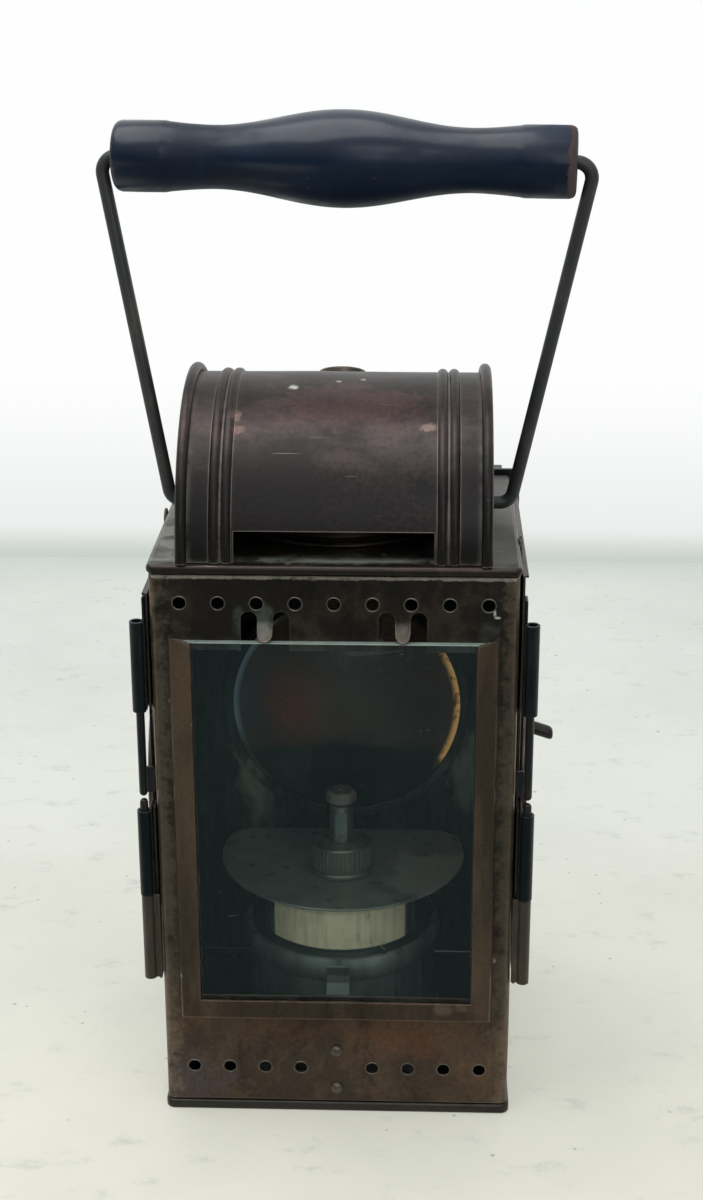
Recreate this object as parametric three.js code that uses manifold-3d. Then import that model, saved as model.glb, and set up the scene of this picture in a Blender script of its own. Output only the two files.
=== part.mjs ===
// Railway hand lantern with a carbide burner, built as separate pieces.
// Millimetres, +Z up. The origin is the centre of the base's underside.
// +X is the right-hand side and -Y is the window side.

import * as THREE from 'three';
import { mergeVertices } from 'three/addons/utils/BufferGeometryUtils.js';
import Module from 'manifold-3d';

const wasm = await Module();
wasm.setup();

// General
const fit_gap = 0.3;
const overrun = 2;
const weld_distance = 0.0001;
const round_sides = 28;
const middle_sides = 20;
const knuckle_sides = 16;
const notch_sides = 14;
const plate_sides = 14;
const small_sides = 12;
const wire_sides = 10;
const peg_sides = 8;
const corner_sides = 6;
const wire_bend_steps = 7;
const frame_corner_steps = 6;
const bend_sides = 4;
const rim_corner_segments = 3;
const rim_bevel_segments = 2;
const bevel_share = 1 / 3;

// Casing
const casing_width = 120;
const casing_depth = 108;
const casing_height = 200;
const sheet = 1;
const bend_radius = 2.6;
const corner_return = 10;
const edge_round_share = 0.8;

// Base
const base_rim = 3.6;
const base_overhang = 0.7;

// Roof
const roof_rim = 3;
const roof_overhang = 0.6;

// Vents
const vent_diameter = 4.5;
const vent_edge_inset = 10;
const vents_in_row = 9;
const top_vent_drop = 9.5;
const bottom_vent_height = 17.3;

// Window
const frame_margin = 6.1;
const sill_height = 46;
const pane_top_drop = 22;
const pane_thickness = 2.6;
const pane_overlap = 3.4;
const hole_margin = 2.5;
const frame_width = 7.4;
const frame_sheet = 0.9;
const frame_ridge_inset = 1.3;
const frame_slope = 0.6;
const frame_top_rise = 1.8;
const frame_end_radius = 3;
const notch_width = 5.3;
const notch_height = 9.8;
const tongue_width = 5.1;
const tongue_pair_offset = 22.3;
const tongue_spring = 2.6;

// Clip behind the window panel
const clip_width = 8;
const clip_sheet = 0.8;
const clip_foot = 5;
const clip_bend_height = 27;
const clip_tip_height = 45;
const clip_curl = 3;
const rivet_head = 4.8;
const rivet_rise = 1.7;
const rivet_shank = 2.4;
const rivet_tail_share = 0.8;
const rivet_steps = 4;
const upper_rivet_height = 24.2;
const lower_rivet_height = 9.1;

// Hood
const hood_end_gap = 9;
const hood_front_gap = 2;
const hood_sheet = 0.9;
const hood_sink = 2.1;
const hood_rim = 3.7;
const hood_rim_lift = 1.2;
const hood_bead = 3.6;
const hood_bead_lift = 1.2;
const first_bead_inset = 12.3;
const second_bead_inset = 16.2;
const slot_width = 64.6;
const slot_height = 10.5;
const hood_end_inset = 2.6;
const boss_diameter = 16.8;
const boss_tilt_degrees = 27;
const boss_thickness = 1.2;
const hood_sides = 40;
const rim_steps = 7;
const bead_steps = 4;
const rim_foot_share = 0.75;

// Chimney
const chimney_diameter = 60;
const chimney_rise = 20;
const chimney_drop = 6;
const chimney_flange = 5;

// Bail and grip
const bail_wire_diameter = 4.5;
const bail_pivot_rise = 7.8;
const bail_height = 116;
const bail_foot_gap = 7.5;
const bail_grip_gap = 5.7;
const bail_foot_bend = 4.5;
const bail_top_bend = 5.2;
const bail_end_play = 1.9;
const bail_head_diameter = 7.5;
const bail_head_thickness = 1.6;
const bail_clearance = 0.4;
const bail_lean = 1.6;
const bail_twist = 8;
const grip_length = 151;
const grip_middle = 31.4;
const grip_neck = 20.6;
const grip_end = 23.2;
const grip_shoulder = 0.5;
const grip_end_length = 17.5;
const grip_neck_offset = 42.5;
const grip_edge = 1.6;
const swell_steps = 7;

// Lens
const optical_height = 113.6;
const lens_diameter = 91;
const lens_seat = 2.5;
const lens_edge = 3.5;
const lens_bulge = 13;
const dome_steps = 6;
const lens_ring_wall = 1.4;
const lens_ring_lip = 2.4;
const lens_ring_depth = 3.1;

// Blackout shutter and its rails
const shutter_sheet = 1.4;
const shutter_overhang = 3;
const shutter_cover = 1.6;
const shutter_rise = 5;
const shutter_lip = 4.5;
const rail_sheet = 0.9;
const rail_grip = 5;
const rail_land = 7;
const rail_drop = 2;
const rail_stop = 3;

// Doors
const door_back_gap = 8;
const door_bottom = 50;
const door_top_drop = 0.5;
const left_door_drop = 7.2;
const door_sheet = 0.8;
const door_rim = 1.9;
const door_corner = 4;
const door_front_gap = 2.3;
const door_glass_diameter = 76;
const glass_seat = 3;
const door_glass_thickness = 1.6;
const bezel_wall = 0.9;
const bezel_lip = 3.2;
const tab_width = 7;
const tab_height = 4.5;
const left_tab_depth = 60;
const right_tab_depth = 32;

// Hinges
const hinge_standoff = 4.3;
const hinge_depth = 1.5;
const pin_diameter = 2.8;
const pin_clearance = 0.25;
const knuckle_wall = 0.8;
const leaf_sheet = 0.8;
const leaf_bezel_gap = 0.8;
const leaf_top_drop = 8.5;
const leaf_upper_end = 7;
const leaf_lower_end = 6.3;
const hinge_notch = 8;
const leaf_corner_share = 0.6;
const knuckle_length = 32;
const body_knuckle_wall = 0.5;
const lug_drop = 30.8;
const lug_foot_gap = 4.9;
const lug_height = 10.8;
const web_thickness = 0.9;
const pin_stop_gap = 1;
const pin_round_share = 0.6;
const leaf_rivet_head = 3.6;
const leaf_rivet_rise = 0.9;
const leaf_rivet_shank = 1.4;
const leaf_rivet_inset = 12;
const leaf_rivet_edge = 6;
const leaf_rivet_line_share = 0.6;
const leaf_rivet_dome_shares = [0.6, 0.75];

// Latch on the right-hand door
const latch_height = 106;
const latch_inset = 3.8;
const latch_spindle = 3;
const latch_tongue_length = 8.2;
const latch_tongue_width = 4;
const latch_tongue_sheet = 1;
const latch_tail = 2.2;
const latch_knob = 5.2;
const latch_knob_length = 12;
const latch_stem_length = 2.6;
const knob_round_share = 0.6;
const keeper_height = 8;
const keeper_sheet = 0.9;
const keeper_lip = 3.4;

// Carbide generator
const pot_seat_gap = 0.9;
const seat_height = 9;
const seat_flange = 6;
const pot_radius = 34.5;
const pot_wall = 1.2;
const pot_top = 50;
const pot_collar_height = 9;
const pot_collar = 1.6;
const bulge_steps = 6;
const tank_radius = 31.5;
const tank_bottom = 30;
const tank_top = 69;
const tank_shoulder = 1.2;
const plate_radius = 44.9;
const plate_offset = 9.4;
const plate_back = 28.5;
const plate_sheet = 1;
const plate_corner = 5;
const peg_diameter = 1.8;
const peg_length = 2.2;
const peg_angle_degrees = 28;
const burner_forward = 4.2;
const burner_boss = 5;
const burner_boss_height = 8;
const nut_diameter = 21.6;
const nut_height = 12;
const nut_ring_diameter = 23.4;
const nut_ring_height = 2.2;
const nut_flutes = 34;
const nut_flute_depth = 0.6;
const nut_bevel = 1.2;
const stem_diameter = 8.3;
const stem_height = 14;
const stem_flat_share = 0.86;
const stem_flat_height = 9;
const tip_diameter = 11;
const tip_waist = 7.4;
const tip_height = 5;
const tip_round_share = 0.25;
const jet_diameter = 2;
const jet_depth = 3;

// Worked out from the sizes above
const half_width = casing_width / 2;
const half_depth = casing_depth / 2;
const vent_pitch = (casing_width - 2 * vent_edge_inset) / (vents_in_row - 1);
const sight_width = casing_width - 2 * (frame_margin + frame_width);
const pane_top = casing_height - pane_top_drop;
const wall_bottom = base_rim + fit_gap;
const roof_bottom = casing_height + fit_gap;
const roof_top = roof_bottom + roof_rim;
const hood_axis = roof_top - hood_sink;
const hood_length = casing_width - 2 * hood_end_gap;
const hood_radius = half_depth - hood_front_gap;
const bail_pivot_height = hood_axis + bail_pivot_rise;
const bail_foot_reach = hood_length / 2 + bail_foot_gap;
const bail_top_reach = grip_length / 2 + bail_grip_gap;
const bail_end_reach = hood_length / 2 - hood_end_inset - hood_sheet - bail_end_play - bail_head_thickness;
const half_sight = sight_width / 2;
const frame_foot = fit_gap;
const lip_under = fit_gap + pane_thickness + fit_gap;
const frame_lip = lip_under + frame_sheet;
const frame_ridge = frame_lip + frame_slope;
const side_wall_face = half_width - sheet - fit_gap;
const lens_back = half_depth - sheet - fit_gap;
const lens_front = lens_back - lens_edge;
const lens_opening = lens_diameter - 2 * lens_seat;
const shutter_width = casing_width + 2 * shutter_overhang;
const shutter_bottom = optical_height - lens_opening / 2 - shutter_cover;
const shutter_top = casing_height + shutter_rise;
const rail_top = casing_height - rail_drop;
const door_depth = casing_depth - door_back_gap;
const door_top = casing_height - door_top_drop;
const door_opening = door_glass_diameter - 2 * glass_seat;
const bezel_radius = door_glass_diameter / 2 + fit_gap + bezel_wall;
const hinge_reach = half_width + hinge_standoff;
const hinge_y = hinge_depth - half_depth;
const door_inner = half_width + roof_overhang + fit_gap;
const knuckle_bore = pin_diameter / 2 + pin_clearance;
const knuckle_radius = knuckle_bore + knuckle_wall;
const door_centre = half_depth - hinge_depth;
const leaf_width = door_centre - bezel_radius - leaf_bezel_gap - door_front_gap;
const leaf_corner = leaf_width * leaf_corner_share;
const leaf_top = door_top - leaf_top_drop;
const upper_knuckle_bottom = leaf_top - leaf_upper_end - knuckle_length;
const lug_bottom = upper_knuckle_bottom - lug_drop;
const lower_knuckle_bottom = lug_bottom - lug_foot_gap - knuckle_length;
const leaf_bottom = lower_knuckle_bottom - leaf_lower_end;
const body_knuckle_bottom = lower_knuckle_bottom - fit_gap - knuckle_length;
const latch_depth = door_depth - latch_inset;
const seat_radius = pot_radius + pot_seat_gap;
const seat_bottom = sheet + fit_gap;
const pot_bottom = seat_bottom + sheet + fit_gap;
const plate_top = tank_top + fit_gap + plate_sheet;
const nut_bottom = plate_top + fit_gap;

// Turning shapes into solids

function cleaned(geometry) {
  const bare = geometry.clone();
  bare.deleteAttribute('normal');
  bare.deleteAttribute('uv');
  const merged = mergeVertices(bare, weld_distance);
  const corner = merged.index.array;
  const place = merged.attributes.position;
  const kept = [];
  const [a, b, c] = [new THREE.Vector3(), new THREE.Vector3(), new THREE.Vector3()];
  let volume = 0;
  for (let i = 0; i < corner.length; i += 3) {
    const [p, q, r] = [corner[i], corner[i + 1], corner[i + 2]];
    if (p === q || q === r || r === p) continue;
    kept.push(p, q, r);
    a.fromBufferAttribute(place, p);
    b.fromBufferAttribute(place, q);
    c.fromBufferAttribute(place, r);
    volume += a.dot(b.cross(c));
  }
  if (volume < 0) kept.reverse();
  return { vertices: new Float32Array(place.array), triangles: new Uint32Array(kept) };
}

// A closed three.js geometry as a solid that can be joined and cut.
function solid(geometry) {
  const { vertices, triangles } = cleaned(geometry);
  const mesh = new wasm.Mesh({ numProp: 3, vertProperties: vertices, triVerts: triangles });
  return new wasm.Manifold(mesh);
}

function joined(...pieces) {
  return pieces.reduce((whole, piece) => whole.add(piece));
}

function cut(body, ...tools) {
  return tools.reduce((whole, tool) => whole.subtract(tool), body);
}

function geometryOf(body) {
  const mesh = body.getMesh();
  const stride = mesh.numProp;
  const count = mesh.vertProperties.length / stride;
  const positions = new Float32Array(count * 3);
  for (let i = 0; i < count; i += 1) {
    for (let k = 0; k < 3; k += 1) positions[3 * i + k] = mesh.vertProperties[stride * i + k];
  }
  const geometry = new THREE.BufferGeometry();
  geometry.setAttribute('position', new THREE.BufferAttribute(positions, 3));
  geometry.setIndex(new THREE.BufferAttribute(new Uint32Array(mesh.triVerts), 1));
  const faceted = geometry.toNonIndexed();
  faceted.computeVertexNormals();
  return faceted;
}

// Finishes

const finishes = {
  copper: { color: 0x4a3128, roughness: 0.45, metalness: 0.8 },
  blackSteel: { color: 0x1b1d20, roughness: 0.5, metalness: 0.6 },
  wire: { color: 0x4c4a47, roughness: 0.45, metalness: 0.85 },
  lacquer: { color: 0x10131a, roughness: 0.28, metalness: 0 },
  tin: { color: 0x8c8d86, roughness: 0.35, metalness: 0.85 },
  brass: { color: 0x7a6a45, roughness: 0.4, metalness: 0.85 },
  ceramic: { color: 0x9a958a, roughness: 0.8, metalness: 0 },
  clearGlass: { color: 0xb9c8c4, roughness: 0.05, metalness: 0, transparent: true, opacity: 0.3 },
  lensGlass: { color: 0x8fa3a3, roughness: 0.05, metalness: 0, transparent: true, opacity: 0.5 },
  redGlass: { color: 0xa51a12, roughness: 0.08, metalness: 0, transparent: true, opacity: 0.6 },
  greenGlass: { color: 0x12705a, roughness: 0.08, metalness: 0, transparent: true, opacity: 0.6 },
};

function piece(name, body, finish) {
  const mesh = new THREE.Mesh(geometryOf(body), new THREE.MeshStandardMaterial(finishes[finish]));
  mesh.name = name;
  return mesh;
}

// Basic forms

// Turns an extrusion so that its outline lies in the named plane.
function turned(geometry, plane) {
  if (plane === 'XZ') geometry.rotateX(Math.PI / 2);
  if (plane === 'YZ') {
    const axes = [new THREE.Vector3(0, 1, 0), new THREE.Vector3(0, 0, 1), new THREE.Vector3(1, 0, 0)];
    geometry.applyMatrix4(new THREE.Matrix4().makeBasis(...axes));
  }
  return geometry;
}

// An outline in XY, XZ or YZ, extruded from one level to a higher one along the third axis.
function extruded(shape, from, to, plane = 'XY', curveSegments = small_sides) {
  const geometry = new THREE.ExtrudeGeometry(shape, { depth: to - from, bevelEnabled: false, curveSegments });
  turned(geometry, plane);
  if (plane === 'XY') geometry.translate(0, 0, from);
  if (plane === 'XZ') geometry.translate(0, to, 0);
  if (plane === 'YZ') geometry.translate(from, 0, 0);
  return solid(geometry);
}

function rectangle(left, low, right, high, radius = 0) {
  const shape = new THREE.Shape();
  if (radius === 0) {
    shape.moveTo(left, low).lineTo(right, low).lineTo(right, high).lineTo(left, high).closePath();
    return shape;
  }
  shape.moveTo(left + radius, low);
  shape.absarc(right - radius, low + radius, radius, -Math.PI / 2, 0, false);
  shape.absarc(right - radius, high - radius, radius, 0, Math.PI / 2, false);
  shape.absarc(left + radius, high - radius, radius, Math.PI / 2, Math.PI, false);
  shape.absarc(left + radius, low + radius, radius, Math.PI, 1.5 * Math.PI, false);
  return shape;
}

function polygon(points) {
  return new THREE.Shape(points.map(([x, y]) => new THREE.Vector2(x, y)));
}

// A block between two corners.
function block(low, high) {
  const size = high.map((value, axis) => value - low[axis]);
  const geometry = new THREE.BoxGeometry(...size);
  geometry.translate(...low.map((value, axis) => value + size[axis] / 2));
  return solid(geometry);
}

// A profile of [radius, height] pairs turned about Z. A ring's profile is closed here.
function revolved(profile, sides = round_sides) {
  const points = profile.map(([radius, height]) => new THREE.Vector2(radius, height));
  if (profile[0][0] > 0 || profile[profile.length - 1][0] > 0) points.push(points[0].clone());
  const geometry = new THREE.LatheGeometry(points, sides);
  geometry.rotateX(Math.PI / 2);
  return geometry;
}

function cylinder(radius, from, to, sides = round_sides) {
  return revolved([[0, from], [radius, from], [radius, to], [0, to]], sides);
}

function tube(inner, outer, from, to, sides = round_sides) {
  return revolved([[inner, from], [outer, from], [outer, to], [inner, to]], sides);
}

// Axis along X: heights of the profile run along +X.
function alongX(geometry) {
  return geometry.rotateY(Math.PI / 2);
}

// Axis along Y: heights of the profile run along +Y.
function alongY(geometry) {
  return geometry.rotateX(-Math.PI / 2);
}

function moved(geometry, x, y, z) {
  return geometry.translate(x, y, z);
}

// Joins copies of one outline, each placed by a function of its point, and closes both ends.
function lofted(outline, placements) {
  const rings = placements.map((place) => outline.map((point) => place(point)));
  const count = outline.length;
  const positions = rings.flat().flatMap((point) => [point.x, point.y, point.z]);
  const index = [];
  for (let ring = 0; ring < rings.length - 1; ring += 1) {
    for (let i = 0; i < count; i += 1) {
      const next = (i + 1) % count;
      const [a, b] = [ring * count + i, ring * count + next];
      index.push(a, b, b + count, a, b + count, a + count);
    }
  }
  const clockwise = THREE.ShapeUtils.isClockWise(outline);
  const sides = index.length;
  const last = (rings.length - 1) * count;
  for (const [p, q, r] of THREE.ShapeUtils.triangulateShape(outline, [])) {
    index.push(r, q, p);
    index.push(last + p, last + q, last + r);
  }
  if (clockwise) {
    for (let i = 0; i < sides; i += 3) [index[i + 1], index[i + 2]] = [index[i + 2], index[i + 1]];
  }
  const geometry = new THREE.BufferGeometry();
  geometry.setAttribute('position', new THREE.Float32BufferAttribute(positions, 3));
  geometry.setIndex(index);
  return geometry;
}

// Points of a path in the XZ plane whose corners are rounded, with the path's direction at each.
function roundedPath(corners, bendSteps) {
  const stations = [];
  const [first] = corners;
  const last = corners[corners.length - 1];
  corners.forEach(({ point, radius }, i) => {
    if (i === 0 || i === corners.length - 1) return;
    const before = corners[i - 1].point.clone().sub(point).normalize();
    const after = corners[i + 1].point.clone().sub(point).normalize();
    const half = Math.acos(before.dot(after)) / 2;
    const run = radius / Math.tan(half);
    const centre = before.clone().add(after).normalize().multiplyScalar(radius / Math.sin(half)).add(point);
    const start = before.clone().multiplyScalar(run).add(point).sub(centre);
    const sweep = Math.PI - 2 * half;
    const sign = Math.sign(after.x * before.y - after.y * before.x);
    for (let step = 0; step <= bendSteps; step += 1) {
      const angle = (sign * sweep * step) / bendSteps;
      const spoke = start.clone().rotateAround(new THREE.Vector2(), angle);
      const heading = spoke.clone().rotateAround(new THREE.Vector2(), (sign * Math.PI) / 2).normalize();
      stations.push({ point: spoke.add(centre), heading });
    }
  });
  const leaving = stations[0].point.clone().sub(first.point).normalize();
  const arriving = last.point.clone().sub(stations[stations.length - 1].point).normalize();
  return [{ point: first.point, heading: leaving }, ...stations, { point: last.point, heading: arriving }];
}

// A round wire along a path in the XZ plane.
function wire(diameter, corners) {
  const outline = [];
  for (let i = 0; i < wire_sides; i += 1) {
    const angle = (2 * Math.PI * i) / wire_sides;
    outline.push(new THREE.Vector2(Math.cos(angle), Math.sin(angle)).multiplyScalar(diameter / 2));
  }
  const stations = roundedPath(corners, wire_bend_steps);
  const placements = stations.map(({ point, heading }) => ({ x: across, y: aside }) =>
    new THREE.Vector3(point.x - heading.y * across, aside, point.y + heading.x * across));
  return lofted(outline, placements);
}

// A bent strip: its centre line in the YZ plane, a thickness and its reach along X.
function strip(points, thickness, from, to) {
  const line = points.map(([y, z]) => new THREE.Vector2(y, z));
  const offset = line.map((point, i) => {
    const before = i > 0 ? point.clone().sub(line[i - 1]).normalize() : null;
    const after = i < line.length - 1 ? line[i + 1].clone().sub(point).normalize() : null;
    const heading = (before ?? after).clone().add(after ?? before).normalize();
    const stretch = before && after ? heading.dot(before) : 1;
    return new THREE.Vector2(-heading.y, heading.x).multiplyScalar(thickness / 2 / stretch);
  });
  const one = line.map((point, i) => point.clone().add(offset[i]));
  const other = line.map((point, i) => point.clone().sub(offset[i])).reverse();
  return extruded(new THREE.Shape([...one, ...other]), from, to, 'YZ');
}

// A plate whose edge is a round bead, with its middle sunk from above and below.
function rimmedPlate(width, depth, corner, rim, sunkAbove, sunkBelow) {
  const bevel = (rim / 2) * edge_round_share;
  const [x, y] = [width / 2 - bevel, depth / 2 - bevel];
  const geometry = new THREE.ExtrudeGeometry(rectangle(-x, -y, x, y, corner), {
    depth: rim - 2 * bevel,
    bevelThickness: bevel,
    bevelSize: bevel,
    bevelSegments: rim_bevel_segments,
    curveSegments: rim_corner_segments,
  });
  geometry.translate(0, 0, bevel);
  const inner = rectangle(rim - width / 2, rim - depth / 2, width / 2 - rim, depth / 2 - rim, corner);
  const tools = [];
  if (sunkAbove > 0) tools.push(extruded(inner, rim - sunkAbove, rim + overrun, 'XY', bend_sides));
  if (sunkBelow > 0) tools.push(extruded(inner, -overrun, sunkBelow, 'XY', bend_sides));
  return cut(solid(geometry), ...tools);
}

// Casing

function baseTray() {
  const [width, depth] = [casing_width, casing_depth].map((size) => size + 2 * base_overhang);
  return piece('base_tray', rimmedPlate(width, depth, bend_radius, base_rim, base_rim - sheet, 0), 'copper');
}

// The folded section that the window panel and the lens panel share, facing -Y.
function foldedSection() {
  const [x, y, inner] = [half_width, half_depth, bend_radius - sheet];
  const shape = new THREE.Shape();
  shape.moveTo(-x, corner_return - y);
  shape.lineTo(-x, bend_radius - y);
  shape.absarc(bend_radius - x, bend_radius - y, bend_radius, Math.PI, 1.5 * Math.PI, false);
  shape.absarc(x - bend_radius, bend_radius - y, bend_radius, -Math.PI / 2, 0, false);
  shape.lineTo(x, corner_return - y);
  shape.lineTo(x - sheet, corner_return - y);
  shape.absarc(x - bend_radius, bend_radius - y, inner, 0, -Math.PI / 2, true);
  shape.absarc(bend_radius - x, bend_radius - y, inner, 1.5 * Math.PI, Math.PI, true);
  shape.lineTo(sheet - x, corner_return - y);
  return shape;
}

// One cutter through the front wall, on a face that looks along -Y.
function throughFront(radius, x, z, sides = small_sides) {
  const drill = alongY(cylinder(radius, -overrun, sheet + overrun, sides));
  return solid(moved(drill, x, -half_depth, z));
}

// A row of vents. Its middle vent is left out where the clip's rivets are.
function ventRow(height, withMiddle) {
  const middle = (vents_in_row - 1) / 2;
  const cutters = [];
  for (let i = 0; i < vents_in_row; i += 1) {
    const drill = throughFront(vent_diameter / 2, (i - middle) * vent_pitch, height);
    if (withMiddle || i !== middle) cutters.push(drill);
  }
  return cutters;
}

function foldedPanel() {
  const body = extruded(foldedSection(), wall_bottom, casing_height, 'XY', bend_sides);
  return cut(body, ...ventRow(casing_height - top_vent_drop, true));
}

// The notches on both sides of a spring tongue, as one opening down into the window.
function notchPair(centre, windowTop) {
  const reach = (tongue_width + notch_width) / 2;
  const radius = notch_width / 2;
  const top = pane_top + notch_height - radius;
  const cutters = [];
  for (const side of [-1, 1]) {
    const x = centre + side * reach;
    cutters.push(throughFront(radius, x, top, notch_sides));
    const [front, back] = [-half_depth - overrun, sheet + overrun - half_depth];
    cutters.push(block([x - radius, front, windowTop - overrun], [x + radius, back, top]));
  }
  cutters.push(block(
    [centre - reach, -half_depth - overrun, windowTop - overrun],
    [centre + reach, sheet + overrun - half_depth, top],
  ));
  return joined(...cutters);
}

// The tongue springs out over the pane's top edge.
function springTongue(centre) {
  const root = pane_top + notch_height - notch_width / 2 + fit_gap;
  const middle = sheet / 2 - half_depth;
  const points = [
    [middle, root],
    [middle - tongue_spring / 2, (root + pane_top) / 2],
    [middle - tongue_spring, pane_top + fit_gap],
  ];
  return strip(points, sheet, centre - tongue_width / 2, centre + tongue_width / 2);
}

function windowPanel() {
  const x = half_sight - hole_margin;
  const windowTop = pane_top - pane_overlap;
  const hole = extruded(
    rectangle(-x, sill_height + hole_margin, x, windowTop),
    -half_depth - overrun, sheet + overrun - half_depth, 'XZ',
  );
  const centres = [-tongue_pair_offset, tongue_pair_offset];
  const notches = centres.map((centre) => notchPair(centre, windowTop));
  const rivets = [upper_rivet_height, lower_rivet_height]
    .map((height) => throughFront(rivet_shank / 2 + fit_gap, 0, height));
  const vents = ventRow(bottom_vent_height, false);
  const panel = cut(foldedPanel(), ...vents, hole, ...notches, ...rivets);
  return piece('window_panel', joined(panel, ...centres.map(springTongue)), 'copper');
}

function lensPanel() {
  const hole = throughFront(lens_opening / 2, 0, optical_height, round_sides);
  const mesh = piece('lens_panel', cut(foldedPanel(), hole), 'copper');
  mesh.rotation.z = Math.PI;
  return mesh;
}

function sideWall(name, side) {
  const y = half_depth - bend_radius;
  const shape = rectangle(-y, wall_bottom, y, casing_height);
  const hole = new THREE.Path();
  hole.absarc(0, optical_height, door_glass_diameter / 2, 0, 2 * Math.PI, true);
  shape.holes.push(hole);
  const wall = extruded(shape, 0, sheet, 'YZ', round_sides);
  const mesh = piece(name, wall, 'copper');
  mesh.position.x = side > 0 ? side_wall_face - sheet : -side_wall_face;
  return mesh;
}

function roofPlate() {
  const [width, depth] = [casing_width, casing_depth].map((size) => size + 2 * roof_overhang);
  const plate = rimmedPlate(width, depth, bend_radius, roof_rim, 0, roof_rim - sheet);
  const bore = solid(cylinder(chimney_diameter / 2 + fit_gap, -overrun, roof_rim + overrun));
  const mesh = piece('roof_plate', cut(plate, bore), 'copper');
  mesh.position.z = roof_bottom;
  return mesh;
}

function chimney() {
  const outer = chimney_diameter / 2;
  const inner = outer - sheet;
  const flange = outer + chimney_flange;
  const profile = [
    [inner, -chimney_drop], [outer, -chimney_drop], [outer, fit_gap], [flange, fit_gap],
    [flange, fit_gap + sheet], [outer, fit_gap + sheet], [outer, chimney_rise], [inner, chimney_rise],
  ];
  const mesh = piece('chimney', solid(revolved(profile)), 'copper');
  mesh.position.z = roof_top;
  return mesh;
}

// Window

function frameSection() {
  const inner = frame_ridge_inset + frame_sheet;
  return [
    [0, frame_foot], [frame_ridge_inset, frame_ridge], [frame_width, frame_lip],
    [frame_width, lip_under], [inner, frame_ridge - frame_sheet], [frame_sheet, frame_foot],
  ].map(([u, v]) => new THREE.Vector2(u, v));
}

function windowFrame() {
  const outer = half_sight + frame_width;
  const bottom = sill_height - frame_width;
  const top = pane_top + frame_top_rise;
  const at = (x, z, v) => new THREE.Vector3(x, -half_depth - v, z);
  const frame = solid(lofted(frameSection(), [
    ({ x: u, y: v }) => at(u - outer, top, v),
    ({ x: u, y: v }) => at(u - outer, bottom + u, v),
    ({ x: u, y: v }) => at(outer - u, bottom + u, v),
    ({ x: u, y: v }) => at(outer - u, top, v),
  ]));
  const corners = [-1, 1].map((side) => {
    const radius = frame_end_radius;
    const [x, z] = [side * half_sight, top];
    const shape = new THREE.Shape();
    shape.moveTo(x - side * overrun, z + overrun);
    shape.lineTo(x - side * overrun, z - radius);
    shape.lineTo(x, z - radius);
    for (let step = 1; step <= frame_corner_steps; step += 1) {
      const angle = (Math.PI / 2) * (step / frame_corner_steps);
      shape.lineTo(x + side * radius * (1 - Math.cos(angle)), z - radius + radius * Math.sin(angle));
    }
    shape.lineTo(x + side * radius, z + overrun);
    return extruded(shape, -half_depth - frame_ridge - overrun, -half_depth, 'XZ');
  });
  return piece('window_frame', cut(frame, ...corners), 'copper');
}

function windowPane() {
  const x = half_sight + pane_overlap;
  const back = -half_depth - fit_gap;
  const outline = rectangle(-x, sill_height - pane_overlap, x, pane_top);
  const pane = extruded(outline, back - pane_thickness, back, 'XZ');
  return piece('window_pane', pane, 'clearGlass');
}

// Generator clip and its rivets, behind the window panel

function generatorClip() {
  const back = sheet + fit_gap + clip_sheet / 2 - half_depth;
  const tip = -pot_radius - pot_collar - fit_gap - clip_sheet / 2;
  const points = [
    [back, clip_foot], [back, clip_bend_height],
    [tip - clip_sheet / 2, clip_tip_height - clip_curl], [tip, clip_tip_height], [tip - clip_curl, pot_top],
  ];
  const body = strip(points, clip_sheet, -clip_width / 2, clip_width / 2);
  const bores = [upper_rivet_height, lower_rivet_height].map((height) => {
    const drill = alongY(cylinder(rivet_shank / 2 + fit_gap, -overrun, overrun, small_sides));
    return solid(moved(drill, 0, back, height));
  });
  return piece('generator_clip', cut(body, ...bores), 'wire');
}

// A rivet along +Y: domed head before the wall, shank, and a flat tail behind it.
function rivet(head, rise, shank, grip) {
  const tail = shank * rivet_tail_share;
  const half = head / 2;
  const radius = (half * half + rise * rise) / (2 * rise);
  const dome = [];
  const opening = Math.asin(Math.min(1, half / radius));
  for (let step = 0; step <= rivet_steps; step += 1) {
    const angle = (opening * step) / rivet_steps;
    dome.push([step === 0 ? 0 : radius * Math.sin(angle), radius * (1 - Math.cos(angle)) - rise]);
  }
  const [neck, end] = [shank / 2, grip + rise / 2];
  return revolved([...dome, [neck, 0], [neck, grip], [tail, grip], [tail, end], [0, end]], small_sides);
}

function clipRivets() {
  const grip = fit_gap + sheet + fit_gap + clip_sheet + fit_gap;
  const places = [['upper_clip_rivet', upper_rivet_height], ['lower_clip_rivet', lower_rivet_height]];
  return places.map(([name, height]) => {
    const mesh = piece(name, solid(alongY(rivet(rivet_head, rivet_rise, rivet_shank, grip))), 'copper');
    mesh.position.set(0, -half_depth - fit_gap, height);
    return mesh;
  });
}

// Hood

// Points of a round bead on the drum, from one foot on the drum's surface to the other.
function beadPoints(x, centre, section, steps) {
  const reach = Math.acos((hood_radius - centre) / section);
  return Array.from({ length: steps + 1 }, (_, step) => {
    const angle = reach * ((2 * step) / steps - 1);
    return [centre + section * Math.cos(angle), x + section * Math.sin(angle)];
  });
}

// The drum's profile from its left edge to its right: a rolled rim and two beads at each end.
function hoodProfile() {
  const [rim, bead] = [hood_rim / 2, hood_bead / 2];
  const edge = hood_length / 2 - rim;
  const rolled = beadPoints(-edge, hood_radius + hood_rim_lift, rim, rim_steps).slice(1);
  const left = [[hood_radius - hood_sheet, -edge], [hood_radius, -edge - rim * rim_foot_share], ...rolled];
  const beadCentre = hood_radius + hood_bead_lift - bead;
  for (const inset of [first_bead_inset, second_bead_inset]) {
    left.push(...beadPoints(inset - hood_length / 2, beadCentre, bead, bead_steps));
  }
  const right = left.map(([radius, x]) => [radius, -x]).reverse();
  return [...left, ...right];
}

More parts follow.
